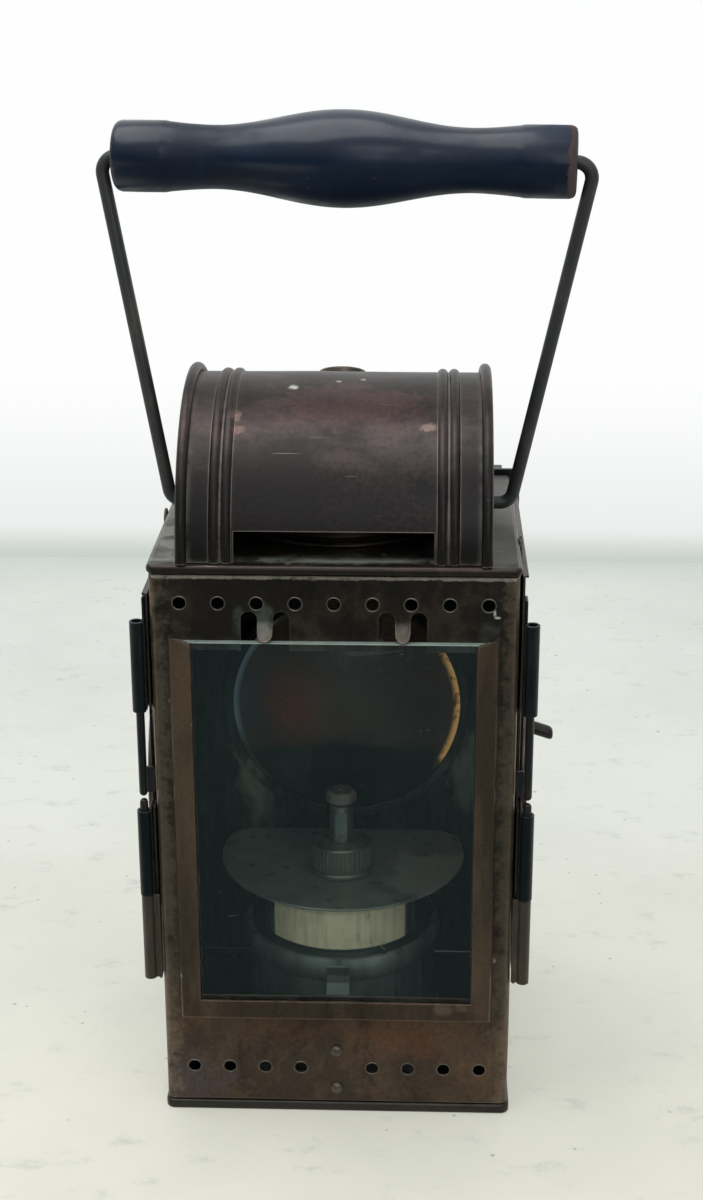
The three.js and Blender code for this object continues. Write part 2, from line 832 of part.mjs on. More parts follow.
// Everything above the roof, in the hood's own frame, whose X axis is the drum's axis.
function aboveRoof() {
  const reach = hood_radius + hood_rim + overrun;
  const length = hood_length / 2 + overrun;
  return block([-length, -reach, hood_sink + fit_gap], [length, reach, reach]);
}

function hoodShell() {
  const drum = solid(alongX(revolved(hoodProfile(), hood_sides)));
  const slot = block(
    [-slot_width / 2, -hood_radius - overrun, 0],
    [slot_width / 2, hood_radius + overrun, hood_sink + slot_height],
  );
  const mesh = piece('hood_shell', drum.intersect(aboveRoof()).subtract(slot), 'copper');
  mesh.position.z = hood_axis;
  return mesh;
}

function hoodEnd(name, side) {
  const outer = side * (hood_length / 2 - hood_end_inset);
  const [from, to] = side > 0 ? [outer - hood_sheet, outer] : [outer, outer + hood_sheet];
  const radius = hood_radius - hood_sheet - fit_gap;
  const disc = solid(alongX(cylinder(radius, from, to, hood_sides)));
  const eyeRadius = bail_wire_diameter / 2 + bail_clearance;
  const eye = alongX(cylinder(eyeRadius, from - overrun, to + overrun, small_sides));
  const bore = solid(moved(eye, 0, 0, bail_pivot_height - hood_axis));
  const mesh = piece(name, cut(disc.intersect(aboveRoof()), bore), 'copper');
  mesh.position.z = hood_axis;
  return mesh;
}

// The disc behind the crown follows the drum on its underside.
function hoodBoss() {
  const radius = boss_diameter / 2;
  const crown = hood_radius + fit_gap;
  const top = crown + boss_thickness;
  const bevel = boss_thickness * bevel_share;
  const disc = solid(revolved([
    [0, hood_radius - boss_thickness], [radius, hood_radius - boss_thickness],
    [radius, top - bevel], [radius - bevel, top], [0, top],
  ]));
  const drum = solid(alongX(cylinder(crown, -boss_diameter, boss_diameter, hood_sides)));
  const mesh = piece('hood_boss', cut(disc, drum), 'copper');
  mesh.position.z = hood_axis;
  mesh.rotation.x = -THREE.MathUtils.degToRad(boss_tilt_degrees);
  return mesh;
}

// Lens, facing the flame with its bulge towards -Y

function lens() {
  const radius = lens_diameter / 2;
  const sphere = (radius * radius + lens_bulge * lens_bulge) / (2 * lens_bulge);
  const opening = Math.asin(radius / sphere);
  const profile = [[0, lens_back]];
  profile.push([radius, lens_back]);
  for (let step = 0; step <= dome_steps; step += 1) {
    const angle = opening * (1 - step / dome_steps);
    const sag = sphere * (Math.cos(angle) - Math.cos(opening));
    profile.push([step === dome_steps ? 0 : sphere * Math.sin(angle), lens_front - sag]);
  }
  const mesh = piece('lens', solid(alongY(revolved(profile, round_sides))), 'lensGlass');
  mesh.position.z = optical_height;
  return mesh;
}

function lensRing() {
  const inner = lens_diameter / 2 + fit_gap;
  const outer = inner + lens_ring_wall;
  const lip = inner - lens_ring_lip;
  const front = lens_front - lens_ring_depth;
  const profile = [
    [inner, lens_back], [outer, lens_back], [outer, front], [lip, front],
    [lip, front + lens_ring_wall], [inner, front + lens_ring_wall],
  ];
  const mesh = piece('lens_ring', solid(alongY(revolved(profile, round_sides))), 'tin');
  mesh.position.z = optical_height;
  return mesh;
}

// Shutter rails on the lens panel, closed at the bottom so that the shutter rests there

function shutterRail(name, side) {
  const slack = fit_gap;
  const inside = shutter_width / 2 + slack;
  const outside = inside + rail_sheet;
  const back = half_depth + fit_gap;
  const floor = back + rail_sheet;
  const lip = floor + slack + shutter_sheet + slack;
  const section = [
    [outside, back], [outside, lip + rail_sheet], [inside - rail_grip, lip + rail_sheet],
    [inside - rail_grip, lip], [inside, lip], [inside, floor], [half_width - rail_land, floor],
    [half_width - rail_land, back],
  ].map(([x, y]) => [side * x, y]);
  const stopTop = shutter_bottom - fit_gap;
  const rail = extruded(polygon(section), stopTop - rail_stop, rail_top);
  const [near, far] = [side * (inside - rail_grip), side * outside];
  const stop = block(
    [Math.min(near, far), back, stopTop - rail_stop],
    [Math.max(near, far), lip + rail_sheet, stopTop],
  );
  return piece(name, joined(rail, stop), 'blackSteel');
}

function shutter() {
  const front = half_depth + fit_gap + rail_sheet + fit_gap;
  const back = front + shutter_sheet;
  const x = shutter_width / 2;
  const plate = extruded(rectangle(-x, shutter_bottom, x, shutter_top), front, back, 'XZ');
  const grip = x - rail_grip - fit_gap;
  const lip = block([-grip, front, shutter_top - shutter_sheet], [grip, back + shutter_lip, shutter_top]);
  return piece('blackout_shutter', joined(plate, lip), 'blackSteel');
}

// Hinges: pins on the casing, knuckles on the doors. Each side has its own frame at the pin.

function bodyHinge(group, sideName, side) {
  const web = (radius, from, to) => {
    const reach = hinge_reach - half_width - fit_gap;
    const [near, far] = [side * -radius, side * -reach];
    const half = web_thickness / 2;
    return block([Math.min(near, far), -half, from], [Math.max(near, far), half, to]);
  };
  const pin = pin_diameter / 2;
  const bore = knuckle_bore;
  const outer = bore + body_knuckle_wall;
  const top = body_knuckle_bottom + knuckle_length;
  const barrel = solid(tube(bore, outer, body_knuckle_bottom, top, small_sides));
  const barrelWeb = web((bore + outer) / 2, body_knuckle_bottom, top);
  group.add(piece(`${sideName}_body_knuckle`, joined(barrel, barrelWeb), 'copper'));
  const lowerTop = lug_bottom - pin_stop_gap;
  const lowerPin = solid(cylinder(pin, body_knuckle_bottom, lowerTop, small_sides));
  group.add(piece(`${sideName}_lower_pin`, lowerPin, 'wire'));
  const upperTop = upper_knuckle_bottom + knuckle_length - pin_diameter;
  const round = pin * pin_round_share;
  const rod = solid(revolved([
    [0, lug_bottom], [pin - round, lug_bottom], [pin, lug_bottom + round], [pin, upperTop], [0, upperTop],
  ], small_sides));
  const lug = web(0, lug_bottom + pin, lug_bottom + lug_height);
  group.add(piece(`${sideName}_upper_pin`, joined(rod, lug), 'wire'));
}

function hingeFrame(side) {
  const group = new THREE.Group();
  group.position.set(side * hinge_reach, hinge_y, 0);
  return group;
}

// Doors, built in the frame of their own hinge pin

function doorShape(top, tabDepth) {
  const front = door_front_gap;
  const back = door_depth - hinge_depth;
  const tab = tabDepth - hinge_depth;
  const shape = new THREE.Shape();
  shape.moveTo(front, door_bottom);
  shape.lineTo(back - door_corner, door_bottom);
  shape.absarc(back - door_corner, door_bottom + door_corner, door_corner, -Math.PI / 2, 0, false);
  shape.absarc(back - door_corner, top - door_corner, door_corner, 0, Math.PI / 2, false);
  shape.lineTo(tab + tab_width / 2, top);
  shape.absarc(tab, door_top + tab_height - tab_width / 2, tab_width / 2, 0, Math.PI, false);
  shape.lineTo(tab - tab_width / 2, top);
  shape.lineTo(front, top);
  return shape;
}

// Extrudes a YZ outline between two distances outward from the casing's middle plane.
function outward(shape, side, near, far, curveSegments = corner_sides) {
  const [a, b] = [side * (near - hinge_reach), side * (far - hinge_reach)];
  return extruded(shape, Math.min(a, b), Math.max(a, b), 'YZ', curveSegments);
}

function doorTray(side, top, tabDepth) {
  const face = door_inner + door_sheet;
  const rim = door_inner + door_rim;
  const skin = outward(doorShape(top, tabDepth), side, door_inner, face);
  const [front, back] = [door_front_gap, door_depth - hinge_depth];
  const border = rectangle(front, door_bottom, back, top, door_sheet);
  border.holes.push(rectangle(
    front + door_sheet, door_bottom + door_sheet,
    back - door_sheet, top - door_sheet, door_corner - door_sheet,
  ));
  const fold = outward(border, side, door_inner, rim);
  const corners = outward(doorShape(top, tabDepth), side, door_inner, rim);
  const gap = outward(
    rectangle(front - overrun, leaf_bottom - fit_gap, front + door_sheet + overrun, leaf_top + fit_gap),
    side, face, rim + overrun,
  );
  const tray = joined(skin, fold.intersect(corners).subtract(gap)).subtract(hingeNotch(side, front));
  const reach = door_rim + overrun;
  const aperture = alongX(cylinder(door_opening / 2, -reach, reach));
  moved(aperture, side * (face - hinge_reach), door_centre, optical_height);
  const bores = leafRivetHeights().map((height) => {
    const drill = alongX(cylinder(leaf_rivet_shank / 2 + fit_gap, -reach, reach, small_sides));
    return solid(moved(drill, side * (face - hinge_reach), leafRivetLine(), height));
  });
  return cut(tray, solid(aperture), ...bores);
}

// The gap beside the pin, between the door's two knuckles.
function hingeNotch(side, front) {
  const low = lower_knuckle_bottom + knuckle_length - fit_gap;
  const opening = rectangle(front - overrun, low, front + hinge_notch, upper_knuckle_bottom);
  return outward(opening, side, door_inner - overrun, door_inner + door_rim + overrun);
}

function leafRivetHeights() {
  const middle = upper_knuckle_bottom + leaf_rivet_edge;
  return [leaf_bottom + leaf_rivet_inset, middle, leaf_top - leaf_rivet_inset];
}

function leafRivetLine() {
  return door_front_gap + leaf_width * leaf_rivet_line_share;
}

function leafFace() {
  return door_inner + door_sheet + fit_gap;
}

function hingeLeaf(side) {
  const near = leafFace();
  const far = near + leaf_sheet;
  const [front, back] = [door_front_gap - fit_gap, door_front_gap + leaf_width];
  const shape = new THREE.Shape();
  shape.moveTo(front, leaf_bottom);
  shape.lineTo(back - leaf_corner, leaf_bottom);
  shape.absarc(back - leaf_corner, leaf_bottom + leaf_corner, leaf_corner, -Math.PI / 2, 0, false);
  shape.absarc(back - leaf_corner, leaf_top - leaf_corner, leaf_corner, 0, Math.PI / 2, false);
  shape.lineTo(front, leaf_top);
  const knuckles = [lower_knuckle_bottom, upper_knuckle_bottom].flatMap((bottom) => {
    const top = bottom + knuckle_length - fit_gap;
    const barrel = solid(tube(knuckle_bore, knuckle_radius, bottom, top, knuckle_sides));
    const tongue = outward(rectangle(0, bottom, front + leaf_sheet, top), side, near, far);
    const bore = solid(cylinder(knuckle_bore, bottom - overrun, top + overrun, knuckle_sides));
    return [cut(tongue, bore), barrel];
  });
  const bores = leafRivetHeights().map((height) => {
    const drill = alongX(cylinder(leaf_rivet_shank / 2 + fit_gap, -overrun, overrun, small_sides));
    return solid(moved(drill, side * (near - hinge_reach), leafRivetLine(), height));
  });
  const leaf = outward(shape, side, near, far).subtract(hingeNotch(side, front));
  return cut(joined(leaf, ...knuckles), ...bores);
}

function leafRivets(sideName, side) {
  const grip = door_sheet + fit_gap + leaf_sheet + fit_gap;
  const head = leafFace() + leaf_sheet + fit_gap;
  return leafRivetHeights().map((height, i) => {
    const half = leaf_rivet_head / 2;
    const [across, up] = leaf_rivet_dome_shares;
    const profile = [
      [0, leaf_rivet_rise], [half * across, leaf_rivet_rise * up], [half, 0],
      [leaf_rivet_shank / 2, 0], [leaf_rivet_shank / 2, -grip], [0, -grip],
    ];
    const body = alongX(revolved(profile, small_sides));
    if (side < 0) body.rotateZ(Math.PI);
    const mesh = piece(`${sideName}_leaf_rivet_${i + 1}`, solid(body), 'copper');
    mesh.position.set(side * (head - hinge_reach), leafRivetLine(), height);
    return mesh;
  });
}

function glassDisc(side) {
  const near = door_inner + door_sheet + fit_gap;
  const circle = new THREE.Shape();
  circle.absarc(door_centre, optical_height, door_glass_diameter / 2, 0, 2 * Math.PI, false);
  return outward(circle, side, near, near + door_glass_thickness, round_sides);
}

// The ring that holds the glass: a wall round its edge and a lip over it.
function glassBezel(side) {
  const near = door_inner + door_sheet + fit_gap;
  const outer = bezel_radius;
  const inner = outer - bezel_wall;
  const lip = inner - bezel_lip;
  const under = door_glass_thickness + fit_gap;
  const top = under + bezel_wall;
  const profile = [[inner, 0], [outer, 0], [outer, top], [lip, top], [lip, under], [inner, under]];
  const ring = alongX(revolved(profile, round_sides));
  if (side < 0) ring.rotateZ(Math.PI);
  return solid(moved(ring, side * (near - hinge_reach), door_centre, optical_height));
}

function door(sideName, side, top, tabDepth, glassFinish) {
  const group = hingeFrame(side);
  let tray = doorTray(side, top, tabDepth);
  if (side > 0) tray = tray.subtract(latchBore());
  group.add(piece(`${sideName}_door_tray`, tray, 'copper'));
  group.add(piece(`${sideName}_hinge_leaf`, hingeLeaf(side), 'blackSteel'));
  group.add(...leafRivets(sideName, side));
  group.add(piece(`${sideName}_signal_glass`, glassDisc(side), glassFinish));
  group.add(piece(`${sideName}_glass_bezel`, glassBezel(side), 'copper'));
  return group;
}

// Latch: a knob on a spindle through the right-hand door, with a tongue that turns behind a keeper

function latchBore() {
  const radius = latch_spindle / 2 + pin_clearance;
  const bore = alongX(cylinder(radius, -hinge_reach, door_rim + overrun, small_sides));
  return solid(moved(bore, 0, latch_depth - hinge_depth, latch_height));
}

function latch() {
  const door_face = door_inner + door_sheet;
  const tongueNear = door_inner + door_rim + fit_gap;
  const tongueFar = tongueNear + latch_tongue_sheet;
  const stemEnd = tongueFar + latch_stem_length;
  const knobEnd = stemEnd + latch_knob_length;
  const [spindle, knob] = [latch_spindle / 2, latch_knob / 2];
  const round = knob * knob_round_share;
  const bevel = round * bevel_share;
  const body = solid(alongX(revolved([
    [0, door_inner], [spindle, door_inner], [spindle, stemEnd], [knob, stemEnd + round / 2],
    [knob, knobEnd - round], [knob - bevel, knobEnd - bevel], [knob - round, knobEnd], [0, knobEnd],
  ], small_sides)));
  const half = latch_tongue_width / 2;
  const collar = solid(alongX(cylinder(half, door_face + fit_gap, tongueFar, small_sides)));
  const shape = new THREE.Shape();
  shape.moveTo(-half, -latch_tail);
  shape.lineTo(half, -latch_tail);
  shape.absarc(0, latch_tongue_length - half, half, 0, Math.PI, false);
  const tongue = extruded(shape, tongueNear, tongueFar, 'YZ', corner_sides);
  const mesh = piece('latch_knob', joined(body, collar, tongue), 'copper');
  mesh.position.set(0, latch_depth - half_depth, latch_height);
  return mesh;
}

function latchKeeper() {
  const under = door_inner + door_rim + fit_gap + latch_tongue_sheet + fit_gap;
  const from = latch_depth + latch_tongue_length - half_depth + fit_gap;
  const root = from + keeper_sheet;
  const front = from - keeper_lip;
  const [foot, cap] = [half_width + fit_gap, under + keeper_sheet];
  const section = [
    [foot, from - keeper_sheet], [foot, root], [cap, root], [cap, front], [under, front], [under, from],
    [foot + keeper_sheet, from], [foot + keeper_sheet, from - keeper_sheet],
  ];
  const reach = keeper_height / 2;
  const body = extruded(polygon(section), latch_height - reach, latch_height + reach);
  return piece('latch_keeper', body, 'copper');
}

// Bail and grip, in the frame of the bail's pivot line

// The bail is bent from use: its top leans to the right and its right end comes forward.
function bent(geometry) {
  const places = geometry.getAttribute('position');
  for (let i = 0; i < places.count; i += 1) {
    const [x, y, z] = [places.getX(i), places.getY(i), places.getZ(i)];
    const share = z / bail_height;
    places.setXYZ(i, x + bail_lean * share, y - bail_twist * share * (x / bail_top_reach), z);
  }
  return geometry;
}

function bailWire() {
  const at = (x, z, radius = 0) => ({ point: new THREE.Vector2(x, z), radius });
  const corners = [
    at(-bail_end_reach, 0),
    at(-bail_foot_reach, 0, bail_foot_bend),
    at(-bail_top_reach, bail_height, bail_top_bend),
    at(bail_top_reach, bail_height, bail_top_bend),
    at(bail_foot_reach, 0, bail_foot_bend),
    at(bail_end_reach, 0),
  ];
  const heads = [-1, 1].map((side) => {
    const [near, far] = [side * bail_end_reach, side * (bail_end_reach + bail_head_thickness)];
    const [low, high] = [Math.min(near, far), Math.max(near, far)];
    return solid(alongX(cylinder(bail_head_diameter / 2, low, high, small_sides)));
  });
  return piece('bail_wire', joined(solid(bent(wire(bail_wire_diameter, corners))), ...heads), 'wire');
}

// The turned grip: straight ends, a small shoulder, necks and a swelling middle.
function grip() {
  const half = grip_length / 2;
  const bore = bail_wire_diameter / 2 + bail_clearance;
  const [end, neck, middle] = [grip_end / 2, grip_neck / 2, grip_middle / 2];
  const shoulder = half - grip_end_length;
  const bevel = grip_edge * bevel_share;
  const side = [[half, end - grip_edge], [half - bevel, end - bevel], [half - grip_edge, end]];
  side.push([shoulder, end]);
  side.push([shoulder - grip_shoulder, end - grip_shoulder]);
  side.push([(shoulder + grip_neck_offset) / 2, (end + neck) / 2 - grip_shoulder / 2]);
  for (let step = 0; step <= swell_steps; step += 1) {
    const share = step / swell_steps;
    const swell = (1 - Math.cos(Math.PI * share)) / 2;
    side.push([grip_neck_offset * (1 - share), neck + (middle - neck) * swell]);
  }
  const right = side.map(([x, radius]) => [radius, x]);
  const left = side.slice(0, -1).reverse().map(([x, radius]) => [radius, -x]);
  const profile = [[bore, half], ...right, ...left, [bore, -half]];
  const mesh = piece('grip', solid(alongX(revolved(profile, middle_sides))), 'lacquer');
  mesh.position.set(bail_lean, 0, bail_height);
  mesh.rotation.z = -Math.atan2(bail_twist, bail_top_reach);
  return mesh;
}

// Carbide generator

function generatorSeat() {
  const inner = seat_radius;
  const outer = seat_radius + sheet;
  const [bottom, top] = [seat_bottom, seat_bottom + seat_height];
  const [flange, floor] = [outer + seat_flange, bottom + sheet];
  const profile = [
    [0, bottom], [flange, bottom], [flange, floor], [outer, floor],
    [outer, top], [inner, top], [inner, floor], [0, floor],
  ];
  return piece('generator_seat', solid(revolved(profile)), 'tin');
}

function carbidePot() {
  const [outer, inner] = [pot_radius, pot_radius - pot_wall];
  const collar = pot_top - pot_collar_height;
  const bead = pot_collar_height / 2;
  const floor = pot_bottom + pot_wall;
  const profile = [[0, pot_bottom], [outer - pot_wall, pot_bottom], [outer, floor], [outer, collar]];
  for (let step = 1; step < bulge_steps; step += 1) {
    const angle = (Math.PI * step) / bulge_steps;
    profile.push([outer + pot_collar * Math.sin(angle), collar + bead - bead * Math.cos(angle)]);
  }
  profile.push([outer, pot_top], [inner, pot_top], [inner, floor], [0, floor]);
  return piece('carbide_pot', solid(revolved(profile)), 'tin');
}

function waterTank() {
  const shoulder = pot_top + fit_gap;
  const plug = pot_radius - pot_wall - fit_gap;
  const rim = Math.max(tank_radius, plug);
  const profile = [
    [0, tank_bottom], [plug - tank_shoulder, tank_bottom], [plug, tank_bottom + tank_shoulder],
    [plug, pot_top - fit_gap], [tank_radius, shoulder], [tank_radius, tank_top - tank_shoulder],
    [tank_radius - tank_shoulder, tank_top], [0, tank_top],
  ];
  const body = solid(revolved(profile));
  const peg = alongX(cylinder(peg_diameter / 2, tank_radius - peg_length, rim + peg_length, peg_sides));
  peg.rotateZ(THREE.MathUtils.degToRad(peg_angle_degrees) - Math.PI / 2);
  moved(peg, 0, 0, pot_top + fit_gap + peg_diameter / 2);
  return piece('water_tank', joined(body, solid(peg)), 'tin');
}

// The D-shaped shade plate with a straight back, above the tank
function shadePlate() {
  const reach = Math.sqrt(plate_radius ** 2 - (plate_back - plate_offset) ** 2);
  const start = Math.atan2(plate_back - plate_corner - plate_offset, Math.sqrt(
    plate_radius ** 2 - (plate_back - plate_corner - plate_offset) ** 2));
  const shape = new THREE.Shape();
  shape.moveTo(plate_corner - reach, plate_back);
  shape.lineTo(reach - plate_corner, plate_back);
  shape.absarc(0, plate_offset, plate_radius, start, Math.PI - start, true);
  const bottom = tank_top + fit_gap;
  const plate = extruded(shape, bottom, bottom + plate_sheet, 'XY', plate_sides);
  const bore = cylinder(burner_boss + fit_gap, bottom - overrun, plate_top + overrun, middle_sides);
  return piece('shade_plate', cut(plate, solid(moved(bore, 0, -burner_forward, 0))), 'tin');
}

// The threaded boss on the tank that the burner screws on to
function burnerBoss() {
  const top = nut_bottom + burner_boss_height;
  const body = solid(cylinder(burner_boss, tank_top + fit_gap, top, middle_sides));
  const mesh = piece('burner_boss', body, 'brass');
  mesh.position.y = -burner_forward;
  return mesh;
}

// Burner, in the frame of its own axis

function knurledNut() {
  const [outer, ring] = [nut_diameter / 2, nut_ring_diameter / 2];
  const [low, high] = [nut_bottom + nut_ring_height, nut_bottom + nut_height];
  const outline = [];
  const teeth = 2 * nut_flutes;
  for (let i = 0; i < teeth; i += 1) {
    const angle = (2 * Math.PI * i) / teeth;
    const radius = i % 2 === 0 ? outer : outer - nut_flute_depth;
    outline.push([radius * Math.cos(angle), radius * Math.sin(angle)]);
  }
  const fluted = extruded(polygon(outline), low - nut_bevel, high);
  const crown = solid(revolved([
    [0, low - nut_bevel], [outer, low - nut_bevel], [outer, high - nut_bevel],
    [outer - nut_bevel, high], [0, high],
  ]));
  const collar = solid(revolved([
    [0, nut_bottom], [ring - nut_flute_depth, nut_bottom], [ring, nut_bottom + nut_ring_height / 2],
    [ring - nut_flute_depth, low], [0, low],
  ]));
  const boreTop = nut_bottom + burner_boss_height + fit_gap;
  const bore = solid(cylinder(burner_boss + pin_clearance, nut_bottom - overrun, boreTop, middle_sides));
  const well = solid(cylinder(stem_diameter / 2 + fit_gap, nut_bottom, high + overrun, middle_sides));
  return piece('burner_nut', cut(joined(fluted.intersect(crown), collar), bore, well), 'brass');
}

function burnerStem() {
  const radius = stem_diameter / 2;
  const bottom = nut_bottom + burner_boss_height + fit_gap * 2;
  const top = nut_bottom + nut_height + stem_height;
  const rod = solid(cylinder(radius, bottom, top, middle_sides));
  const flat = radius * stem_flat_share;
  const from = nut_bottom + nut_height + (stem_height - stem_flat_height) / 2;
  const flats = [-1, 1].map((side) => {
    const [near, far] = [side * flat, side * (radius + overrun)];
    return block([-radius - overrun, Math.min(near, far), from],
      [radius + overrun, Math.max(near, far), from + stem_flat_height]);
  });
  return piece('burner_stem', cut(rod, ...flats), 'brass');
}

function burnerTip() {
  const [outer, waist, jet] = [tip_diameter / 2, tip_waist / 2, jet_diameter / 2];
  const bottom = nut_bottom + nut_height + stem_height + fit_gap;
  const top = bottom + tip_height;
  const round = tip_height * tip_round_share;
  const profile = [
    [0, bottom], [waist, bottom], [outer, bottom + round], [outer, top - round], [outer - round, top],
    [jet, top], [jet, top - jet_depth], [0, top - jet_depth],
  ];
  return piece('burner_tip', solid(revolved(profile, middle_sides)), 'ceramic');
}

// Assembly

const lantern = new THREE.Group();

const casing = new THREE.Group();
casing.add(baseTray(), windowPanel(), lensPanel(), sideWall('left_wall', -1), sideWall('right_wall', 1));
casing.add(roofPlate(), chimney(), windowFrame(), windowPane(), generatorClip(), ...clipRivets());
casing.add(hoodShell(), hoodEnd('left_hood_end', -1), hoodEnd('right_hood_end', 1), hoodBoss());
casing.add(lens(), lensRing(), shutterRail('left_rail', -1), shutterRail('right_rail', 1), latchKeeper());
casing.add(generatorSeat(), carbidePot());
for (const [sideName, side] of [['left', -1], ['right', 1]]) {
  const frame = hingeFrame(side);
  bodyHinge(frame, sideName, side);
  casing.add(frame);
}
lantern.add(casing);

const leftDoor = door('left', -1, door_top - left_door_drop, left_tab_depth, 'greenGlass');
const rightDoor = door('right', 1, door_top, right_tab_depth, 'redGlass');
lantern.add(leftDoor, rightDoor, latch(), shutter());

const bail = new THREE.Group();
bail.position.z = bail_pivot_height;
bail.add(bailWire(), grip());
lantern.add(bail);

const generator = new THREE.Group();
generator.add(waterTank(), shadePlate(), burnerBoss());
const burner = new THREE.Group();
burner.position.y = -burner_forward;
burner.add(knurledNut(), burnerStem(), burnerTip());
generator.add(burner);
lantern.add(generator);

export default lantern;
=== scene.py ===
"""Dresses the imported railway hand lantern: its sheet copper casing, hood, bail, doors and carbide burner."""

import logging
from collections.abc import Callable, Iterable, Sequence
from dataclasses import dataclass, field
from enum import Enum
from math import acos, asin, atan2, copysign, cos, degrees, hypot, pi, radians, sin, sqrt, tan
from typing import Any, ClassVar

import bmesh
import bpy
from mathutils import Matrix, Vector, noise


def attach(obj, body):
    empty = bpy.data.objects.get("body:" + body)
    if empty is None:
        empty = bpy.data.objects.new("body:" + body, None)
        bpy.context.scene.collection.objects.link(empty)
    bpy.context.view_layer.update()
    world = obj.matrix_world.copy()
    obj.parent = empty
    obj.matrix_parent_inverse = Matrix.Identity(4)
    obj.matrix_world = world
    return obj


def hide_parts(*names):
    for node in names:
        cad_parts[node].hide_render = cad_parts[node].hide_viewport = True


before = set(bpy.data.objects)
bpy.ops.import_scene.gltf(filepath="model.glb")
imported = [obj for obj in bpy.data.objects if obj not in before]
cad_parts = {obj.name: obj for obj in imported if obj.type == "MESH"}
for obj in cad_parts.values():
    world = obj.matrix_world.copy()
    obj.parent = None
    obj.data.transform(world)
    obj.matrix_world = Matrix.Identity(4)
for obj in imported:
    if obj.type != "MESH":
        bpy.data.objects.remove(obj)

LOG = logging.getLogger("lantern")
MM = 0.001
GAP = 0.3
MERGE = 0.004
SLIVER = 0.002
SHARP = 28.0
BEND_PITCH = 8.0
SEED = 7
TAU = 2 * pi
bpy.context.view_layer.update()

Point2 = tuple[float, float]
Point3 = tuple[float, float, float]
Colour = tuple[float, float, float]
Socket = bpy.types.NodeSocket
Material = bpy.types.Material
Mesh = bpy.types.Mesh
Object = bpy.types.Object
ORIGIN: Point3 = (0.0, 0.0, 0.0)
EVEN: Point3 = (1.0, 1.0, 1.0)


class Body(Enum):
    """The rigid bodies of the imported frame."""

    CASING = "casing"
    BAIL = "bail"
    LEFT_DOOR = "left_door"
    RIGHT_DOOR = "right_door"
    LATCH = "latch"
    SHUTTER = "shutter"
    GENERATOR = "generator_head"
    BURNER = "burner"


class Slot(Enum):
    """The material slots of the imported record."""

    COPPER = "patinated_copper"
    STEEL = "black_steel"
    WIRE = "steel_wire"
    LACQUER = "black_lacquer"
    TIN = "tinned_sheet"
    BRASS = "old_brass"
    CERAMIC = "burner_ceramic"
    PANE = "window_glass"
    LENS = "lens_glass"
    GREEN = "green_glass"
    RED = "red_glass"


class Axis(Enum):
    """The row axis along which a turned piece stands."""

    X = "x"
    Y = "y"
    Z = "z"


class Side(Enum):
    """The lantern's left and right sides, seen from the window."""

    LEFT = -1
    RIGHT = 1


# Geometry in millimetres


def turn_to(axis: Axis) -> Callable[[float, float, float], Point3]:
    """Gives the map from a form that stands along Z to one that stands along an axis.

    Args:
        axis: The row axis that the form's height follows.

    Returns:
        A function of x, y and height that gives the turned point.
    """
    if axis is Axis.X:
        return lambda x, y, z: (z, x, y)
    if axis is Axis.Y:
        return lambda x, y, z: (y, z, x)
    return lambda x, y, z: (x, y, z)


@dataclass
class Form:
    """Points and faces of a piece in the making, in millimetres."""

    points: list[Point3] = field(default_factory=list)
    faces: list[tuple[int, ...]] = field(default_factory=list)

    def add(self, *others: "Form") -> "Form":
        """Takes in the points and faces of other forms.

        Args:
            others: The forms to add.

        Returns:
            This form.
        """
        for other in others:
            start = len(self.points)
            self.points.extend(other.points)
            self.faces.extend(tuple(i + start for i in face) for face in other.faces)
        return self

    def placed(self, place: Callable[[float, float, float], Point3]) -> "Form":
        """Gives a new form with each point moved by a function."""
        return Form([place(*point) for point in self.points], list(self.faces))

    def shifted(self, dx: float = 0.0, dy: float = 0.0, dz: float = 0.0) -> "Form":
        """Gives the form moved without a turn."""
        return self.placed(lambda x, y, z: (x + dx, y + dy, z + dz))

    def mesh(self, name: str) -> Mesh:
        """Turns the form into a closed mesh in metres whose faces point outwards.

        Args:
            name: The mesh's name.

        Returns:
            The new mesh.
        """
        mesh = bpy.data.meshes.new(name)
        mesh.from_pydata([tuple(MM * v for v in point) for point in self.points], [], self.faces)
        work = bmesh.new()
        work.from_mesh(mesh)
        bmesh.ops.remove_doubles(work, verts=work.verts, dist=MERGE * MM)
        bmesh.ops.dissolve_degenerate(work, edges=work.edges, dist=SLIVER * MM)
        bmesh.ops.recalc_face_normals(work, faces=work.faces)
        work.to_mesh(mesh)
        work.free()
        return mesh


def arc(centre: Point2, radius: float, start: float, end: float, steps: int) -> list[Point2]:
    """Points along an arc between two angles in degrees, first and last included."""
    angles = (radians(start + (end - start) * i / steps) for i in range(steps + 1))
    return [(centre[0] + radius * cos(a), centre[1] + radius * sin(a)) for a in angles]


def circle(centre: Point2, radius: float, steps: int = 72) -> list[Point2]:
    """Points of a full circle, anticlockwise, without repeating the first."""
    return arc(centre, radius, 0, 360, steps)[:-1]


def rounded_box(low: Point2, high: Point2, radius: float, steps: int = 5) -> list[Point2]:
    """Points of a rectangle with round corners.

    Args:
        low: Its lowest corner.
        high: Its highest corner.
        radius: The corners' radius.
        steps: The steps in each corner.

    Returns:
        The points, anticlockwise.
    """
    (x0, y0), (x1, y1) = (low[0] + radius, low[1] + radius), (high[0] - radius, high[1] - radius)
    corners = [((x1, y0), -90), ((x1, y1), 0), ((x0, y1), 90), ((x0, y0), 180)]
    return [point for centre, start in corners for point in arc(centre, radius, start, start + 90, steps)]


